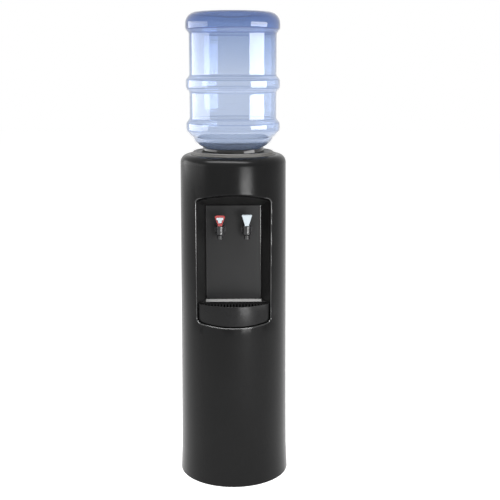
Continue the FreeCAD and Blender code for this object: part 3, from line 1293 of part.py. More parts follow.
def makeLever(side, name):
    middle = f"{side} * tapX"
    tipY = f"-(heelHigh + camGrowth * {fullTurn}) * sin(tiltMax) - camGrowth * cos(tiltMax)"
    tipZ = f"-(heelHigh + camGrowth * {fullTurn}) * cos(tiltMax) + camGrowth * sin(tiltMax)"
    headY = f"{paddleFootY} - leverLong * sin(leverLean)"
    headZ = f"{paddleFootZ} + leverLong * cos(leverLean)"
    sideView = padded(name + "SideView", "YZ_Plane", [
        ("5.5", "-heelHigh"),
        ("-camGrowth", "-heelHigh", f"heelHigh + camGrowth * {fullTurn} / 2", -1),
        (tipY, tipZ),
        (paddleFootY, paddleFootZ),
        (headY, headZ),
        (f"{headY} + leverThick * cos(leverLean)", f"{headZ} + leverThick * sin(leverLean)"),
        ("-9", "6"),
        ("2.5", "6", "6", -1),
        ("5.5", "2"),
    ], "4 * leverTopHalf", symmetric=True, x=middle, y="-tapY", z=pinHigh)
    top = f"{headZ} + 1.6"
    if side > 0:
        crown = [("leverTopHalf", f"{top} - 3", "3", 1), ("leverTopHalf - 3", top)]
    else:
        crown = [("11", "12"), ("leverTopHalf", f"{top} - 8.5", "6", 1), ("leverTopHalf - 6", f"{top} - 2.5")]
    right = [("leverFootHalf", "-heelHigh - 1"), ("leverFootHalf", "-1")] + crown
    left = [(f"-({across})", high) for across, high, *bend in reversed(right)]
    # an arc on the left leaves from the other end of the edge
    left[0] = left[0] + crown[-2][2:]
    front = padded(name + "FrontView", "XZ_Plane", right + left, "60", x=middle, y="-tapY + 10", z=pinHigh)
    slot = block(name + "Slot", "eyeThick + 0.6", "16", "13", f"{middle} - eyeThick / 2 - 0.3",
                 "-tapY - 9.8", f"{pinHigh} - 8.2")
    hole = rod(name + "PinHole", "pinRadius + 0.08", "40", f"{middle} - 20", "-tapY", pinHigh, "x")
    tools = [slot, hole]
    if side < 0:
        tools.append(latchForm("latchRecess", "seatGap", "latchTravel", "latchDeep + 5", "latchDeep"))
    kept(name + "_lever", without(name + "Lever", shared(name + "Paddle", [sideView, front]), tools))
    if side < 0:
        kept("hot_latch", latchForm("latch", "0", "0", "latchThick", "latchDeep - seatGap"))


def latchForm(name, grow, room, deep, sink):
    # the T of the safety latch in the leaning face; its recess is grown, and longer by the travel
    return padded(name, "XZ_Plane", [
        (f"-4 - {grow}", f"7 - {room} - {grow}"),
        (f"4 + {grow}", f"7 - {room} - {grow}"),
        (f"6 + {grow}", f"17 - {room} - {grow}"),
        (f"9.5 + {grow}", f"17 - {room} - {grow}"),
        (f"9.5 + {grow}", f"24 + {grow}"),
        (f"-9.5 - {grow}", f"24 + {grow}"),
        (f"-9.5 - {grow}", f"17 - {room} - {grow}"),
        (f"-6 - {grow}", f"17 - {room} - {grow}"),
    ], deep, x="-tapX", y=f"-tapY + {paddleFootY} + ({sink}) * cos(leverLean)",
        z=f"{pinHigh} + {paddleFootZ} + ({sink}) * sin(leverLean)",
        turn=FreeCAD.Rotation(Vector(1, 0, 0), worth("leverLean")))


def makeTapFixings():
    kept("tap_bonnets", grouped("bonnetPair", bonnets))
    start = "-alcoveBack + linerWall + 0.1"
    nuts = []
    for side in (1, -1):
        nut = doc.addObject("Part::Prism", f"nut{side}")
        nut.Polygon = 6
        nut.setExpression("Circumradius", bound("shankRadius + 4.6"))
        nut.setExpression("Height", bound(f"-nutBack - ({start})"))
        placed(nut, f"{side} * tapX", start, "shankHigh", ALONG["y"])
        bore = rod(f"nutBore{side}", "shankRadius + 0.05", "60", f"{side} * tapX", "-alcoveBack - 10",
                   "shankHigh", "y")
        nuts.append(without(f"nutBored{side}", nut, [bore]))
    kept("shank_nuts", grouped("nuts", nuts))


# ---------------------------------------------------------------- switch and ports
def makeSwitch():
    backY = (f"(skirtRadius - (switchZ - skirtHeight) * (skirtRadius - shoulderRadius)"
             f" / ({shoulderFoot} - skirtHeight))")
    bezel = block("bezel", "switchWide + 5", "2", "switchHigh + 6", "-switchWide / 2 - 2.5", f"{backY} + 0.2",
                  "switchZ - switchHigh / 2 - 3")
    body = block("switchBlock", "switchWide", "22", "switchHigh", "-switchWide / 2", f"{backY} - 21",
                 "switchZ - switchHigh / 2")
    cavity = block("switchCavity", "switchWide - 4", "16", "switchHigh - 2.4", "-switchWide / 2 + 2",
                   f"{backY} - 11", "switchZ - switchHigh / 2 + 1.2")
    pivot = rod("pivotHole", "1.28", "switchWide + 10", "-switchWide / 2 - 5", f"{backY} - 3", "switchZ", "x")
    kept("hot_switch_body", without("switchHollow", together("switchWhole", [bezel, body]), [cavity, pivot]))
    rocker = padded("rockerBlank", "YZ_Plane", [
        ("3", "-11.5"), ("6.2", "-11.5", "40", -1), ("6.2", "11.5"), ("3", "11.5"), ("-5", "3.5"),
        ("-5", "-3.5"),
    ], "switchWide - 4.6", symmetric=True)
    pin = rod("rockerPin", "1.2", "switchWide - 0.8", "-switchWide / 2 + 0.4", "0", "0", "x")
    whole = together("rockerWhole", [rocker, pin])
    placed(whole, "0", f"{backY} - 3", "switchZ", FreeCAD.Rotation(Vector(1, 0, 0), -7))
    kept("hot_switch_rocker", whole)


def makePorts():
    inner = "-shellWall - portGap"
    outer = "portGap + portFlange"
    kept("cord_bush", atPort("cordBush", [
        ("cordBore", "-portDeep"), ("glandRadius", "-portDeep"), ("glandRadius + 1.6", "3 - portDeep"),
        ("glandRadius + 1.6", inner), ("glandRadius", inner), ("glandRadius", "portGap"),
        ("glandRadius + 2", "portGap"), ("glandRadius + 2", outer), ("cordBore", outer),
    ], 1))
    kept("drain_plug", atPort("drainPlug", [
        ("0", "-portDeep"), ("4", "-portDeep"), ("4", "-3"), ("drainRadius", "-3"),
        ("drainRadius", "portGap"), ("drainRadius + 3", "portGap"), ("drainRadius + 3", outer), ("0", outer),
    ], -1))


makeCabinet()
makeLiner()
makePanel()
makeTray()
makeGrille()
makeCollar()
makeCup()
makeBottle()
makeProbe()
makeColdSide()
makeHotSide()
makeChassis()
makeCompressor()
makeCondenser()
makeLines()
for side, name in ((1, "cold"), (-1, "hot")):
    makeTap(side, name)
makeTapFixings()
makeSwitch()
makePorts()
doc.recompute()

# ---------------------------------------------------------------- check and write
broken = [item.FullName + " in " + item.getParent().Label if item.getParent() else item.Label
          for item in doc.Objects if "Invalid" in item.State or "Error" in item.State]
for name, piece in pieces.items():
    if piece.Shape.isNull() or not piece.Shape.isValid() or not piece.Shape.Solids:
        broken.append(name)
if broken:
    raise SystemExit("failed: " + ", ".join(broken))
for name, piece in pieces.items():
    piece.Shape.exportStep(f"parts/{name}.step")
    print(name, len(piece.Shape.Solids), "solids", round(piece.Shape.Volume))
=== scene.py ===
import bpy
import json
import math
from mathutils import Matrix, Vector


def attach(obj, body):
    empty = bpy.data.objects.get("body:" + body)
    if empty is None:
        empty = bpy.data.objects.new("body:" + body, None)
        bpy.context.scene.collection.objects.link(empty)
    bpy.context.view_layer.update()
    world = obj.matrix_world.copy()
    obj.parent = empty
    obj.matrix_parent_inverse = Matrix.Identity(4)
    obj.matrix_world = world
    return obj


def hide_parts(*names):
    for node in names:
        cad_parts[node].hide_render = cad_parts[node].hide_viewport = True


# Round black water cooler with a tinted bottle on top. Metres, floor at z = 0, the taps face -Y.

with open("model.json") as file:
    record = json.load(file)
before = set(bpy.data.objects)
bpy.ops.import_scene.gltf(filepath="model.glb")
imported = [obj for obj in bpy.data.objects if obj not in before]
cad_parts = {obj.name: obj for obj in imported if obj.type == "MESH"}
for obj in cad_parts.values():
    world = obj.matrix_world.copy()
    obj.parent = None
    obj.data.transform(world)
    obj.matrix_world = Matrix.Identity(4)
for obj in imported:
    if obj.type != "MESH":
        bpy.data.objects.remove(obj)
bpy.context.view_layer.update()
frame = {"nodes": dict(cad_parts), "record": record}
nodes = frame["nodes"]
print("frame loaded:", len(nodes), "pieces")


def newFinish(name, colour, roughness, metallic=0.0, specular=0.5):
    finish = bpy.data.materials.new(name)
    finish.use_nodes = True
    tree = finish.node_tree
    shader = tree.nodes["Principled BSDF"]
    shader.inputs["Base Color"].default_value = (*colour, 1)
    shader.inputs["Roughness"].default_value = roughness
    shader.inputs["Metallic"].default_value = metallic
    shader.inputs["Specular IOR Level"].default_value = specular
    return finish, tree, shader


def objectPlace(tree, stretch=(1, 1, 1)):
    # the object's own coordinates, stretched where a pattern runs one way
    place = tree.nodes.new("ShaderNodeTexCoord")
    mapping = tree.nodes.new("ShaderNodeMapping")
    mapping.inputs["Scale"].default_value = stretch
    tree.links.new(place.outputs["Object"], mapping.inputs["Vector"])
    return mapping.outputs["Vector"]


def noise(tree, place, scale, detail=2.0, roughness=0.5):
    pattern = tree.nodes.new("ShaderNodeTexNoise")
    pattern.inputs["Scale"].default_value = scale
    pattern.inputs["Detail"].default_value = detail
    pattern.inputs["Roughness"].default_value = roughness
    tree.links.new(place, pattern.inputs["Vector"])
    return pattern.outputs["Fac"]


def spread(tree, value, low, high, fromLow=0.3, fromHigh=0.7):
    # a pattern brought to the range from low to high
    ramp = tree.nodes.new("ShaderNodeMapRange")
    ramp.inputs["From Min"].default_value = fromLow
    ramp.inputs["From Max"].default_value = fromHigh
    ramp.inputs["To Min"].default_value = low
    ramp.inputs["To Max"].default_value = high
    tree.links.new(value, ramp.inputs["Value"])
    return ramp.outputs["Result"]


def tinted(tree, value, first, second):
    mix = tree.nodes.new("ShaderNodeMix")
    mix.data_type = "RGBA"
    mix.inputs[6].default_value = (*first, 1)
    mix.inputs[7].default_value = (*second, 1)
    tree.links.new(value, mix.inputs[0])
    return mix.outputs[2]


def raised(tree, shader, value, strength, distance):
    bump = tree.nodes.new("ShaderNodeBump")
    bump.inputs["Strength"].default_value = strength
    bump.inputs["Distance"].default_value = distance
    tree.links.new(value, bump.inputs["Height"])
    tree.links.new(bump.outputs["Normal"], shader.inputs["Normal"])


def plasticFinish(name, look):
    finish, tree, shader = newFinish(name, look["colour"], look["roughness"], 0, look["specular"])
    place = objectPlace(tree)
    cloud = spread(tree, noise(tree, place, 9, 3), 0, 1)
    shade = tuple(part * look["shade"] for part in look["colour"])
    tree.links.new(tinted(tree, cloud, look["colour"], shade), shader.inputs["Base Color"])
    wipe = noise(tree, place, look["grainScale"] / 12, 4)
    tree.links.new(spread(tree, wipe, look["roughness"] - look["wipe"], look["roughness"] + look["wipe"]),
                   shader.inputs["Roughness"])
    grain = noise(tree, place, look["grainScale"], 3, 0.6)
    raised(tree, shader, grain, look["grain"], look["grainDepth"])
    return finish


def metalFinish(name, look):
    finish, tree, shader = newFinish(name, look["colour"], look["roughness"], look["metallic"])
    place = objectPlace(tree, look["stretch"])
    lines = noise(tree, place, look["scale"], 4, 0.6)
    dark = tuple(part * look["shade"] for part in look["colour"])
    tree.links.new(tinted(tree, spread(tree, lines, 0, 1), look["colour"], dark), shader.inputs["Base Color"])
    tree.links.new(spread(tree, lines, look["roughness"] - 0.06, look["roughness"] + 0.08),
                   shader.inputs["Roughness"])
    raised(tree, shader, lines, look["bump"], 0.0002)
    return finish


def zincFinish(name, look):
    # galvanised sheet with its spangle
    finish, tree, shader = newFinish(name, look["colour"], look["roughness"], 1)
    place = objectPlace(tree)
    cells = tree.nodes.new("ShaderNodeTexVoronoi")
    cells.inputs["Scale"].default_value = look["spangle"]
    tree.links.new(place, cells.inputs["Vector"])
    grey = tree.nodes.new("ShaderNodeRGBToBW")
    tree.links.new(cells.outputs["Color"], grey.inputs["Color"])
    dark = tuple(part * look["shade"] for part in look["colour"])
    tree.links.new(tinted(tree, grey.outputs["Val"], look["colour"], dark), shader.inputs["Base Color"])
    smooth, dull = look["roughness"] - look["vary"], look["roughness"] + look["vary"]
    tree.links.new(spread(tree, grey.outputs["Val"], smooth, dull, 0, 1), shader.inputs["Roughness"])
    return finish


def foamFinish(name, look):
    finish, tree, shader = newFinish(name, look["colour"], look["roughness"])
    place = objectPlace(tree)
    cells = tree.nodes.new("ShaderNodeTexVoronoi")
    cells.inputs["Scale"].default_value = look["bead"]
    tree.links.new(place, cells.inputs["Vector"])
    dark = tuple(part * look["shade"] for part in look["colour"])
    tree.links.new(tinted(tree, spread(tree, cells.outputs["Distance"], 0, 1, 0.1, 0.7), look["colour"], dark),
                   shader.inputs["Base Color"])
    raised(tree, shader, cells.outputs["Distance"], look["bump"], look["bumpDepth"])
    return finish


def bottleFinish(name, look):
    # clear polycarbonate tinted through its wall, so that thick places look deeper
    finish, tree, shader = newFinish(name, look["surface"], look["roughness"])
    shader.inputs["Transmission Weight"].default_value = 1
    shader.inputs["IOR"].default_value = look["ior"]
    place = objectPlace(tree, (1, 1, 0.35))
    ripple = noise(tree, place, look["ripple"], 2)
    raised(tree, shader, ripple, look["rippleDepth"], 0.002)
    height = tree.nodes.new("ShaderNodeSeparateXYZ")
    tree.links.new(objectPlace(tree), height.inputs[0])
    low, high = look["rampHigh"]
    scuffs = noise(tree, objectPlace(tree), look["scuffScale"], 4, 0.7)
    frost = tree.nodes.new("ShaderNodeMath")
    tree.links.new(spread(tree, scuffs, look["roughness"], look["scuffed"], 0.62, 0.8), frost.inputs[0])
    tree.links.new(spread(tree, height.outputs["Z"], look["shoulderFrost"], 0, *look["shoulderHigh"]),
                   frost.inputs[1])
    tree.links.new(frost.outputs[0], shader.inputs["Roughness"])
    # painted shade: thin dark lines are painted into the base colour at the heights listed in edges, at the
    # ring flanks, standing in for the dark refraction there; above topStart the colour is tinted deeper
    tintAndPaintedLines = tree.nodes.new("ShaderNodeValToRGB")
    tree.links.new(spread(tree, height.outputs["Z"], 0, 1, low, high), tintAndPaintedLines.inputs["Fac"])
    stops = [(0, look["shoulder"])]
    for edge, colour in look["edges"]:
        share = (edge - low) / (high - low)
        half = look["paintedLineHalf"] / (high - low)
        stops += [(share - half, stops[-1][1]), (share, colour),
                  (share + half, look["topBand"] if edge > look["topStart"] else look["surface"])]
    ramp = tintAndPaintedLines.color_ramp
    ramp.elements[0].position, ramp.elements[0].color = stops[0][0], (*stops[0][1], 1)
    ramp.elements[1].position, ramp.elements[1].color = 1, (*stops[-1][1], 1)
    for share, colour in stops[1:]:
        ramp.elements.new(share).color = (*colour, 1)
    tree.links.new(tintAndPaintedLines.outputs["Color"], shader.inputs["Base Color"])
    wall = tree.nodes.new("ShaderNodeVolumeAbsorption")
    wall.inputs["Color"].default_value = (*look["colour"], 1)
    wall.inputs["Density"].default_value = look["density"]
    tree.links.new(wall.outputs["Volume"], tree.nodes["Material Output"].inputs["Volume"])
    return finish


finishLook = {
    "cabinet": {"colour": (0.0045, 0.0045, 0.0046), "shade": 0.8, "roughness": 0.24, "specular": 0.11,
                "wipe": 0.03, "grain": 0.14, "grainDepth": 0.0005, "grainScale": 900},
    # edge: a lighter, glossier copy of the cabinet plastic, whose lighter colour is a painted highlight on
    # rounded edges
    "edge": {"colour": (0.009, 0.009, 0.0094), "shade": 0.8, "roughness": 0.14, "specular": 0.6,
             "wipe": 0.03, "grain": 0.05, "grainDepth": 0.0003, "grainScale": 900},
    "alcove": {"colour": (0.009, 0.009, 0.009), "shade": 0.8, "roughness": 0.38, "specular": 0.25,
               "wipe": 0.03, "grain": 0.15, "grainDepth": 0.0004, "grainScale": 900},
    "panel": {"colour": (0.012, 0.012, 0.0123), "shade": 0.9, "roughness": 0.36, "specular": 0.2,
              "wipe": 0.03, "grain": 0.12, "grainDepth": 0.0004, "grainScale": 1100},
    # the pale grey of the strip on the ledge is a painted highlight
    "ledge": {"colour": (0.24, 0.24, 0.235), "shade": 0.85, "roughness": 0.3, "specular": 0.5,
              "wipe": 0.04, "grain": 0.08, "grainDepth": 0.0003, "grainScale": 900},
    "tray": {"colour": (0.007, 0.007, 0.0072), "shade": 0.85, "roughness": 0.3, "specular": 0.13,
             "wipe": 0.04, "grain": 0.08, "grainDepth": 0.0003, "grainScale": 900},
    "collar": {"colour": (0.06, 0.058, 0.054), "shade": 0.85, "roughness": 0.4, "specular": 0.45,
               "wipe": 0.04, "grain": 0.12, "grainDepth": 0.0004, "grainScale": 900},
    "lever": {"colour": (0.4, 0.45, 0.48), "shade": 0.96, "roughness": 0.28, "specular": 0.5,
              "wipe": 0.04, "grain": 0.04, "grainDepth": 0.0003, "grainScale": 700},
    "gloss": {"colour": (0.006, 0.006, 0.007), "shade": 0.8, "roughness": 0.1, "specular": 0.5,
              "wipe": 0.03, "grain": 0.03, "grainDepth": 0.0003, "grainScale": 400},
    "taps": {"colour": (0.012, 0.012, 0.013), "shade": 0.8, "roughness": 0.26, "specular": 0.5,
             "wipe": 0.04, "grain": 0.05, "grainDepth": 0.0003, "grainScale": 900},
    "white": {"colour": (0.8, 0.81, 0.8), "shade": 0.96, "roughness": 0.28, "specular": 0.5,
              "wipe": 0.04, "grain": 0.04, "grainDepth": 0.0003, "grainScale": 700},
    "red": {"colour": (0.27, 0.012, 0.011), "shade": 0.85, "roughness": 0.24, "specular": 0.5,
            "wipe": 0.04, "grain": 0.04, "grainDepth": 0.0003, "grainScale": 700},
    "cap": {"colour": (0.74, 0.82, 0.9), "shade": 0.94, "roughness": 0.3, "specular": 0.5,
            "wipe": 0.04, "grain": 0.05, "grainDepth": 0.0003, "grainScale": 700},
    "rubber": {"colour": (0.02, 0.02, 0.02), "shade": 0.8, "roughness": 0.75, "specular": 0.3,
               "wipe": 0.06, "grain": 0.3, "grainDepth": 0.0005, "grainScale": 1200},
    "silicone": {"colour": (0.72, 0.74, 0.72), "shade": 0.92, "roughness": 0.35, "specular": 0.4,
                 "wipe": 0.05, "grain": 0.05, "grainDepth": 0.0003, "grainScale": 500},
    "enamel": {"colour": (0.012, 0.012, 0.012), "shade": 0.8, "roughness": 0.22, "specular": 0.5,
               "wipe": 0.05, "grain": 0.12, "grainDepth": 0.0006, "grainScale": 260},
}
metalLook = {
    "stainless": {"colour": (0.6, 0.6, 0.61), "shade": 0.86, "roughness": 0.3, "metallic": 1,
                  "stretch": (1, 1, 30), "scale": 22, "bump": 0.08},
    "copper": {"colour": (0.72, 0.33, 0.19), "shade": 0.7, "roughness": 0.28, "metallic": 1,
               "stretch": (1, 1, 1), "scale": 60, "bump": 0.06},
    "fixing": {"colour": (0.62, 0.62, 0.6), "shade": 0.8, "roughness": 0.32, "metallic": 1,
               "stretch": (1, 1, 1), "scale": 300, "bump": 0.08},
    "heater": {"colour": (0.55, 0.53, 0.48), "shade": 0.7, "roughness": 0.42, "metallic": 0.8,
               "stretch": (1, 1, 8), "scale": 80, "bump": 0.2},
}
finishes = {name: plasticFinish(name + "Plastic", look) for name, look in finishLook.items()}
finishes.update({name: metalFinish(name + "Metal", look) for name, look in metalLook.items()})
finishes["zinc"] = zincFinish("zincSheet", {
    "colour": (0.56, 0.57, 0.58), "shade": 0.78, "roughness": 0.38, "vary": 0.1, "spangle": 90})
finishes["foam"] = foamFinish("beadFoam", {
    "colour": (0.86, 0.86, 0.82), "shade": 0.82, "roughness": 0.8, "bead": 260,
    "bump": 0.5, "bumpDepth": 0.0008})
finishes["bottle"] = bottleFinish("tintedBottle", {
    "surface": (0.97, 0.98, 1.0), "colour": (0.10, 0.30, 0.62), "density": 240, "ior": 1.585,
    "roughness": 0.012, "ripple": 14, "rippleDepth": 0.02, "scuffScale": 40, "scuffed": 0.07,
    "shoulder": (0.97, 0.98, 1.0), "shoulderFrost": 0.3, "shoulderHigh": (0.985, 1.045),
    "rampHigh": (0.889, 1.389), "paintedLineHalf": 0.0022,
    "topBand": (0.82, 0.88, 0.96), "topStart": 1.325,
    # edges: heights of the painted shade lines at the ring flanks, with their dark colours
    "edges": [(1.0628, (0.6, 0.66, 0.8)), (1.075, (0.62, 0.68, 0.8)), (1.1505, (0.6, 0.66, 0.8)),
              (1.1625, (0.62, 0.68, 0.8)), (1.1855, (0.62, 0.68, 0.8)), (1.1975, (0.6, 0.66, 0.8)),
              (1.3155, (0.45, 0.53, 0.75)), (1.3275, (0.25, 0.34, 0.62))]})
print("finishes made:", len(finishes))

pieceFinish = {
    "cabinet": ["cabinet_shell"],
    "collar": ["collar_ring"],
    "alcove": ["alcove_liner"],
    "panel": ["splash_panel"],
    "tray": ["drip_tray", "drip_grille"],
    "gloss": ["bottle_cup"],
    "bottle": ["bottle"],
    "cap": ["bottle_cap"],
    "white": ["feed_probe", "tank_lid", "tank_baffle", "cold_stem", "hot_stem", "shank_nuts"],
    "lever": ["cold_lever", "hot_latch"],
    "red": ["hot_lever", "hot_switch_rocker"],
    "taps": ["cold_faucet_body", "hot_faucet_body", "tap_bonnets", "hot_switch_body", "relay_cover"],
    "stainless": ["cold_tank", "hot_tank", "cold_lever_pin", "hot_lever_pin", "cold_spring", "hot_spring"],
    "foam": ["cold_insulation", "hot_insulation"],
    "copper": ["evaporator_coil", "suction_line", "discharge_line", "liquid_line", "filter_drier",
               "capillary_line"],
    "zinc": ["base_pan", "frame_posts", "cold_shelf", "hot_shelf", "condenser_bars"],
    "fixing": ["compressor_bolts", "bar_screws"],
    "enamel": ["compressor", "condenser_tube", "condenser_wires", "hot_thermostats"],
    "rubber": ["compressor_mounts", "foot_pads", "cord_bush", "drain_plug"],
    "silicone": ["hot_feed_hose", "hot_hose", "cold_hose", "cold_seat_cup", "hot_seat_cup"],
    "heater": ["heater_band"],
}
bodies = frame["record"]["behaviour"]["bodies"]
bodyOfNode = {node: body for body, members in bodies.items() for node in members}


def deselectAll():
    if bpy.context.mode != "OBJECT":
        bpy.ops.object.mode_set(mode="OBJECT")
    bpy.ops.object.select_all(action="DESELECT")


def smoothSkin(node, angle=32):
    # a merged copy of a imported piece, so that it shades as one surface
    skin = nodes[node].copy()
    skin.data = nodes[node].data.copy()
    skin.name = node + "_skin"
    for key in list(skin.keys()):
        if key.startswith("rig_"):
            del skin[key]
    bpy.context.scene.collection.objects.link(skin)
    skin.parent = None
    deselectAll()
    skin.select_set(True)
    bpy.context.view_layer.objects.active = skin
    if skin.data.has_custom_normals:
        bpy.ops.mesh.customdata_custom_splitnormals_clear()
    bpy.ops.object.mode_set(mode="EDIT")
    bpy.ops.mesh.select_all(action="SELECT")
    bpy.ops.mesh.remove_doubles(threshold=0.00001)
    bpy.ops.object.mode_set(mode="OBJECT")
    bpy.ops.object.shade_smooth_by_angle(angle=math.radians(angle))
    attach(skin, bodyOfNode[node])
    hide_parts(node)
    return skin


# the stage is made first, so that a stopped script still shows something
cameraLook = {"distance": 2.6932, "height": 1.2360, "tiltDown": 11.569, "turn": 1.046, "lens": 66.26}
bpy.ops.object.camera_add(
    location=(0, -cameraLook["distance"], cameraLook["height"]),
    rotation=(math.radians(90 - cameraLook["tiltDown"]), 0, -math.radians(cameraLook["turn"])))
camera = bpy.context.object
camera.data.lens = cameraLook["lens"]
camera.data.sensor_width = 36
camera.data.dof.use_dof = False
bpy.context.scene.camera = camera

lampLook = {
    # azimuth from the front, positive to the right; centre height, distance, width, height, radiance
    "bottleRight": {"azimuth": 65.5, "centre": 1.24, "distance": 2.4, "wide": 2.0, "high": 0.84, "radiance": 7},
    "bottleLeft": {"azimuth": -98, "centre": 1.2, "distance": 2.2, "wide": 3.2, "high": 1.0, "radiance": 3},
    "cabinetFront": {"azimuth": 27, "centre": 0.56, "distance": 2.2, "wide": 0.8, "high": 0.5, "radiance": 27},
    "above": {"azimuth": -16, "centre": 2.7, "distance": 0.9, "wide": 2.6, "high": 0.5, "radiance": 26},
}
for name, look in lampLook.items():
    angle = math.radians(look["azimuth"])
    spot = Vector((math.sin(angle) * look["distance"], -math.cos(angle) * look["distance"], look["centre"]))
    aim = Vector((0, 0, min(look["centre"], 1.0))) - spot
    bpy.ops.object.light_add(type="AREA", location=spot, rotation=aim.to_track_quat("-Z", "Y").to_euler())
    lamp = bpy.context.object
    lamp.name = name
    lamp.data.shape = "RECTANGLE"
    lamp.data.size = look["wide"]
    lamp.data.size_y = look["high"]
    lamp.data.energy = look["radiance"] * look["wide"] * look["high"] * math.pi
    lamp.visible_camera = False

world = bpy.data.worlds.new("studio")
bpy.context.scene.world = world
world.use_nodes = True
tree = world.node_tree
tree.nodes.clear()


def seenDirectly(tree):
    # 1 for rays that come straight from the camera, off gloss or through glass
    rays = tree.nodes.new("ShaderNodeLightPath")
    first = tree.nodes.new("ShaderNodeMath")
    first.operation = "MAXIMUM"
    second = tree.nodes.new("ShaderNodeMath")
    second.operation = "MAXIMUM"
    tree.links.new(rays.outputs["Is Camera Ray"], first.inputs[0])
    tree.links.new(rays.outputs["Is Glossy Ray"], first.inputs[1])
    tree.links.new(first.outputs[0], second.inputs[0])
    tree.links.new(rays.outputs["Is Transmission Ray"], second.inputs[1])
    return second.outputs[0]


stageLook = {"worldLight": 0.4, "floorColour": (0.7, 0.7, 0.7), "floorLift": 0.72, "floorHalf": 14}
white = tree.nodes.new("ShaderNodeBackground")
white.inputs["Strength"].default_value = 1
white.inputs["Color"].default_value = (1, 1, 1, 1)
fill = tree.nodes.new("ShaderNodeBackground")
fill.inputs["Strength"].default_value = stageLook["worldLight"]
fill.inputs["Color"].default_value = (1, 1, 1, 1)
blend = tree.nodes.new("ShaderNodeMixShader")
out = tree.nodes.new("ShaderNodeOutputWorld")
tree.links.new(seenDirectly(tree), blend.inputs[0])
tree.links.new(fill.outputs[0], blend.inputs[1])
tree.links.new(white.outputs[0], blend.inputs[2])
tree.links.new(blend.outputs[0], out.inputs["Surface"])

deselectAll()
bpy.ops.mesh.primitive_plane_add(size=2 * stageLook["floorHalf"], location=(0, 0, 0))
floor = bpy.context.object
floor.name = "studioFloor"
paint = bpy.data.materials.new("studioFloorPaint")
paint.use_nodes = True
tree = paint.node_tree
tree.nodes.clear()
matt = tree.nodes.new("ShaderNodeBsdfDiffuse")
matt.inputs["Color"].default_value = (*stageLook["floorColour"], 1)
lift = tree.nodes.new("ShaderNodeEmission")
lift.inputs["Strength"].default_value = stageLook["floorLift"]
both = tree.nodes.new("ShaderNodeAddShader")
choose = tree.nodes.new("ShaderNodeMixShader")
out = tree.nodes.new("ShaderNodeOutputMaterial")
tree.links.new(matt.outputs[0], both.inputs[0])
tree.links.new(lift.outputs[0], both.inputs[1])
tree.links.new(seenDirectly(tree), choose.inputs[0])
tree.links.new(matt.outputs[0], choose.inputs[1])
tree.links.new(both.outputs[0], choose.inputs[2])
tree.links.new(choose.outputs[0], out.inputs["Surface"])
floor.data.materials.append(paint)
bpy.context.scene.view_settings.view_transform = "Standard"
print("stage made")


def lathePiece(name, rings, segments):
    # a turned piece made ring by ring from (radius, height), closed at both ends
    deselectAll()
    radius, height = rings[0]
    bpy.ops.mesh.primitive_circle_add(vertices=segments, radius=radius, location=(0, 0, height))
    piece = bpy.context.object
    piece.name = name
    bpy.ops.object.transform_apply(location=True, rotation=False, scale=False)
    bpy.ops.object.mode_set(mode="EDIT")
    bpy.ops.mesh.select_all(action="SELECT")
    bpy.ops.mesh.edge_face_add()
    for nextRadius, nextHeight in rings[1:]:
        bpy.ops.mesh.extrude_region_move(TRANSFORM_OT_translate={"value": (0, 0, nextHeight - height)})
        grow = nextRadius / radius
        bpy.ops.transform.resize(value=(grow, grow, 1), center_override=(0, 0, nextHeight))
        radius, height = nextRadius, nextHeight
    bpy.ops.mesh.select_all(action="SELECT")
    bpy.ops.mesh.normals_make_consistent(inside=False)
    bpy.ops.object.mode_set(mode="OBJECT")
    return piece


def arcRings(centre, radius, start, finish, steps):
    # rings along an arc, angles in degrees from level outwards, without its first ring
    turns = [math.radians(start + (finish - start) * step / steps) for step in range(1, steps + 1)]
    return [(centre[0] + radius * math.cos(turn), centre[1] + radius * math.sin(turn)) for turn in turns]


def softRings(rings, soft, steps=3):
    # the outline with its flagged corners rounded
    out = []
    for number, ring in enumerate(rings):
        here = Vector(ring[:2])
        if len(ring) == 2:
            out.append((here.x, here.y))
            continue
        before = (Vector(rings[number - 1][:2]) - here).normalized() * soft
        after = (Vector(rings[number + 1][:2]) - here).normalized() * soft
        for step in range(steps + 1):
            part = step / steps
            spot = here + before * (1 - part) ** 2 + after * part ** 2
            out.append((spot.x, spot.y))
    return out


def innerRings(rings, wall, baseWall, baseStart, baseFull):
    # the inside of the wall, which thickens towards the base
    out = []
    for number, (radius, height) in enumerate(rings):
        before = Vector(rings[max(number - 1, 0)])
        after = Vector(rings[min(number + 1, len(rings) - 1)])
        along = (after - before).normalized()
        part = min(max((height - baseStart) / (baseFull - baseStart), 0), 1)
        thick = wall + (baseWall - wall) * part
        out.append((max(radius - along.y * thick, 0.0008), height + along.x * thick))
    return out


bottleLook = {"neck": 0.0275, "body": 0.1253, "ring": 0.1353, "mouth": 0.889, "top": 1.374, "corner": 0.032,
              "flank": 0.012, "wall": 0.0016, "base": 0.0042, "soft": 0.0035, "segments": 144,
              "neckLong": 0.058, "neckFillet": 0.014,
              # radius and height over the mouth, soft where the corner is rounded
              "shoulder": [(0.079, 0.100, "soft"), (0.097, 0.1095), (0.110, 0.120, "soft"),
                           (0.1165, 0.1335, "soft"), (0.1218, 0.1375, "soft")],
              # heights over the mouth, and of the top ring's foot under the top
              "lowRing": (0.152, 0.174), "midRing": (0.2615, 0.3085), "topRingFoot": 0.0465,
              # radius and depth of the dished base
              "dish": [(0.075, 0), (0.06, 0.0022), (0.04, 0.0062), (0.02, 0.0088), (0.001, 0.01)],
              "thickFrom": 0.09, "thickFull": 0.03}


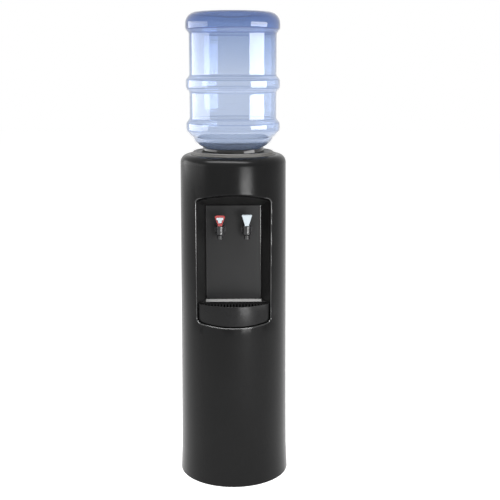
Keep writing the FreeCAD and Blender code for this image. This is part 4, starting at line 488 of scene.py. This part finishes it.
def makeBottle(look):
    neck, body, ring, mouth, top = (look[key] for key in ("neck", "body", "ring", "mouth", "top"))
    corner, flank, fillet = look["corner"], look["flank"], look["neckFillet"]
    neckTop = mouth + look["neckLong"]
    lowFoot, lowTop = (mouth + height for height in look["lowRing"])
    midFoot, midTop = (mouth + height for height in look["midRing"])
    topFoot = top - look["topRingFoot"]
    outside = [(neck, mouth), (neck, neckTop)]
    outside += arcRings((neck + fillet, neckTop), fillet, 180, 123, 5)
    outside += [(radius, mouth + height, *soft) for radius, height, *soft in look["shoulder"]]
    outside += [(ring, lowFoot, "soft"), (ring, lowTop, "soft"),
                (body, lowTop + flank, "soft"), (body, midFoot, "soft"),
                (ring, midFoot + flank, "soft"), (ring, midTop - flank, "soft"),
                (body, midTop, "soft"), (body, topFoot - flank, "soft"),
                (ring, topFoot, "soft"), (ring, top - corner)]
    outside = softRings(outside, look["soft"])
    outside += arcRings((ring - corner, top - corner), corner, 0, 90, 10)
    outside += [(radius, top - depth) for radius, depth in look["dish"]]
    inside = innerRings(outside, look["wall"], look["base"], top - look["thickFrom"], top - look["thickFull"])
    inside[0] = (neck - look["wall"], mouth)
    bottle = lathePiece("bottle_shape", inside[::-1] + outside, look["segments"])
    bottle.data.materials.append(finishes["bottle"])
    deselectAll()
    bottle.select_set(True)
    bpy.context.view_layer.objects.active = bottle
    bpy.ops.object.shade_smooth_by_angle(angle=math.radians(50))
    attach(bottle, "bottle_group")
    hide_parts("bottle")
    return bottle


ledgeLook = {"half": 0.0812, "back": -0.0625, "front": -0.0812, "backHigh": 0.5494, "frontHigh": 0.5458,
             "thick": 0.0012}


def makeLedgeHighlightStrip(look):
    # a pale strip laid on the ledge under the panel, with its front edge rolled over; its pale grey is a
    # painted highlight, standing in for the bright reflection along the ledge
    deselectAll()
    deep = math.hypot(look["back"] - look["front"], look["backHigh"] - look["frontHigh"])
    slope = math.atan2(look["backHigh"] - look["frontHigh"], look["back"] - look["front"])
    bpy.ops.mesh.primitive_plane_add(
        size=1, location=(0, (look["back"] + look["front"]) / 2, (look["backHigh"] + look["frontHigh"]) / 2),
        rotation=(slope, 0, 0))
    highlightStrip = bpy.context.object
    highlightStrip.name = "ledge_trim"
    highlightStrip.scale = (look["half"] * 2, deep, 1)
    bpy.ops.object.transform_apply(location=True, rotation=True, scale=True)
    wall = highlightStrip.modifiers.new("wall", "SOLIDIFY")
    wall.thickness = look["thick"]
    wall.offset = 1
    bpy.ops.object.modifier_apply(modifier="wall")
    edges = highlightStrip.modifiers.new("edges", "BEVEL")
    edges.width = look["thick"] * 0.4
    edges.segments = 3
    bpy.ops.object.modifier_apply(modifier="edges")
    bpy.ops.object.shade_smooth_by_angle(angle=math.radians(40))
    highlightStrip.data.materials.append(finishes["ledge"])
    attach(highlightStrip, "cooler")


def glossAndPaintedHighlightOnEdges(skin, wanted):
    # a lighter, glossier copy of the plastic on the chosen rounded edges: the gloss catches the lamps, and the
    # lighter colour is a painted highlight line
    skin.data.materials.append(finishes["edge"])
    last = len(skin.data.materials) - 1
    for face in skin.data.polygons:
        if wanted(face.center):
            face.material_index = last


# the cabinet's radius at its foot and how it tapers upwards, then where the opening's rounded edge lies
openingEdge = {"footRadius": 0.1608, "taper": 0.0068, "footHigh": 0.08, "tall": 0.869, "front": -0.05,
               "outer": 0.0001, "inner": 0.0034, "half": 0.109, "low": 0.483, "high": 0.86}
panelSide = {"half": 0.0782, "front": -0.0581}


def onOpeningEdge(spot):
    edge = openingEdge
    radius = edge["footRadius"] - edge["taper"] * (spot.z - edge["footHigh"]) / edge["tall"]
    depth = radius - math.hypot(spot.x, spot.y)
    return (spot.y < edge["front"] and edge["outer"] < depth < edge["inner"]
            and abs(spot.x) < edge["half"] and edge["low"] < spot.z < edge["high"])


def onPanelSide(spot):
    return abs(spot.x) > panelSide["half"] and spot.y < panelSide["front"]


for finish, members in pieceFinish.items():
    for node in members:
        nodes[node].data.materials.clear()
        nodes[node].data.materials.append(finishes[finish])
skins = {node: smoothSkin(node) for node in nodes if node != "bottle"}
# painted highlight: the opening's rounded lip and the panel's side edges get the lighter, glossier edge plastic
glossAndPaintedHighlightOnEdges(skins["cabinet_shell"], onOpeningEdge)
glossAndPaintedHighlightOnEdges(skins["splash_panel"], onPanelSide)
print("pieces dressed")
bottle = makeBottle(bottleLook)
# the small lamps would glint on every ring of the bottle, and the band's lamp would pale the cabinet's side
for piece, missedBy in ((bottle, ("above", "cabinetFront")), (skins["cabinet_shell"], ("bottleRight",))):
    missed = bpy.data.collections.new(piece.name + "_missed")
    missed.objects.link(piece)
    missed.collection_objects[0].light_linking.link_state = "EXCLUDE"
    for name in missedBy:
        bpy.data.objects[name].light_linking.receiver_collection = missed
# painted highlight: a pale strip on the ledge stands in for the reflection there
makeLedgeHighlightStrip(ledgeLook)
print("bottle and trim made")
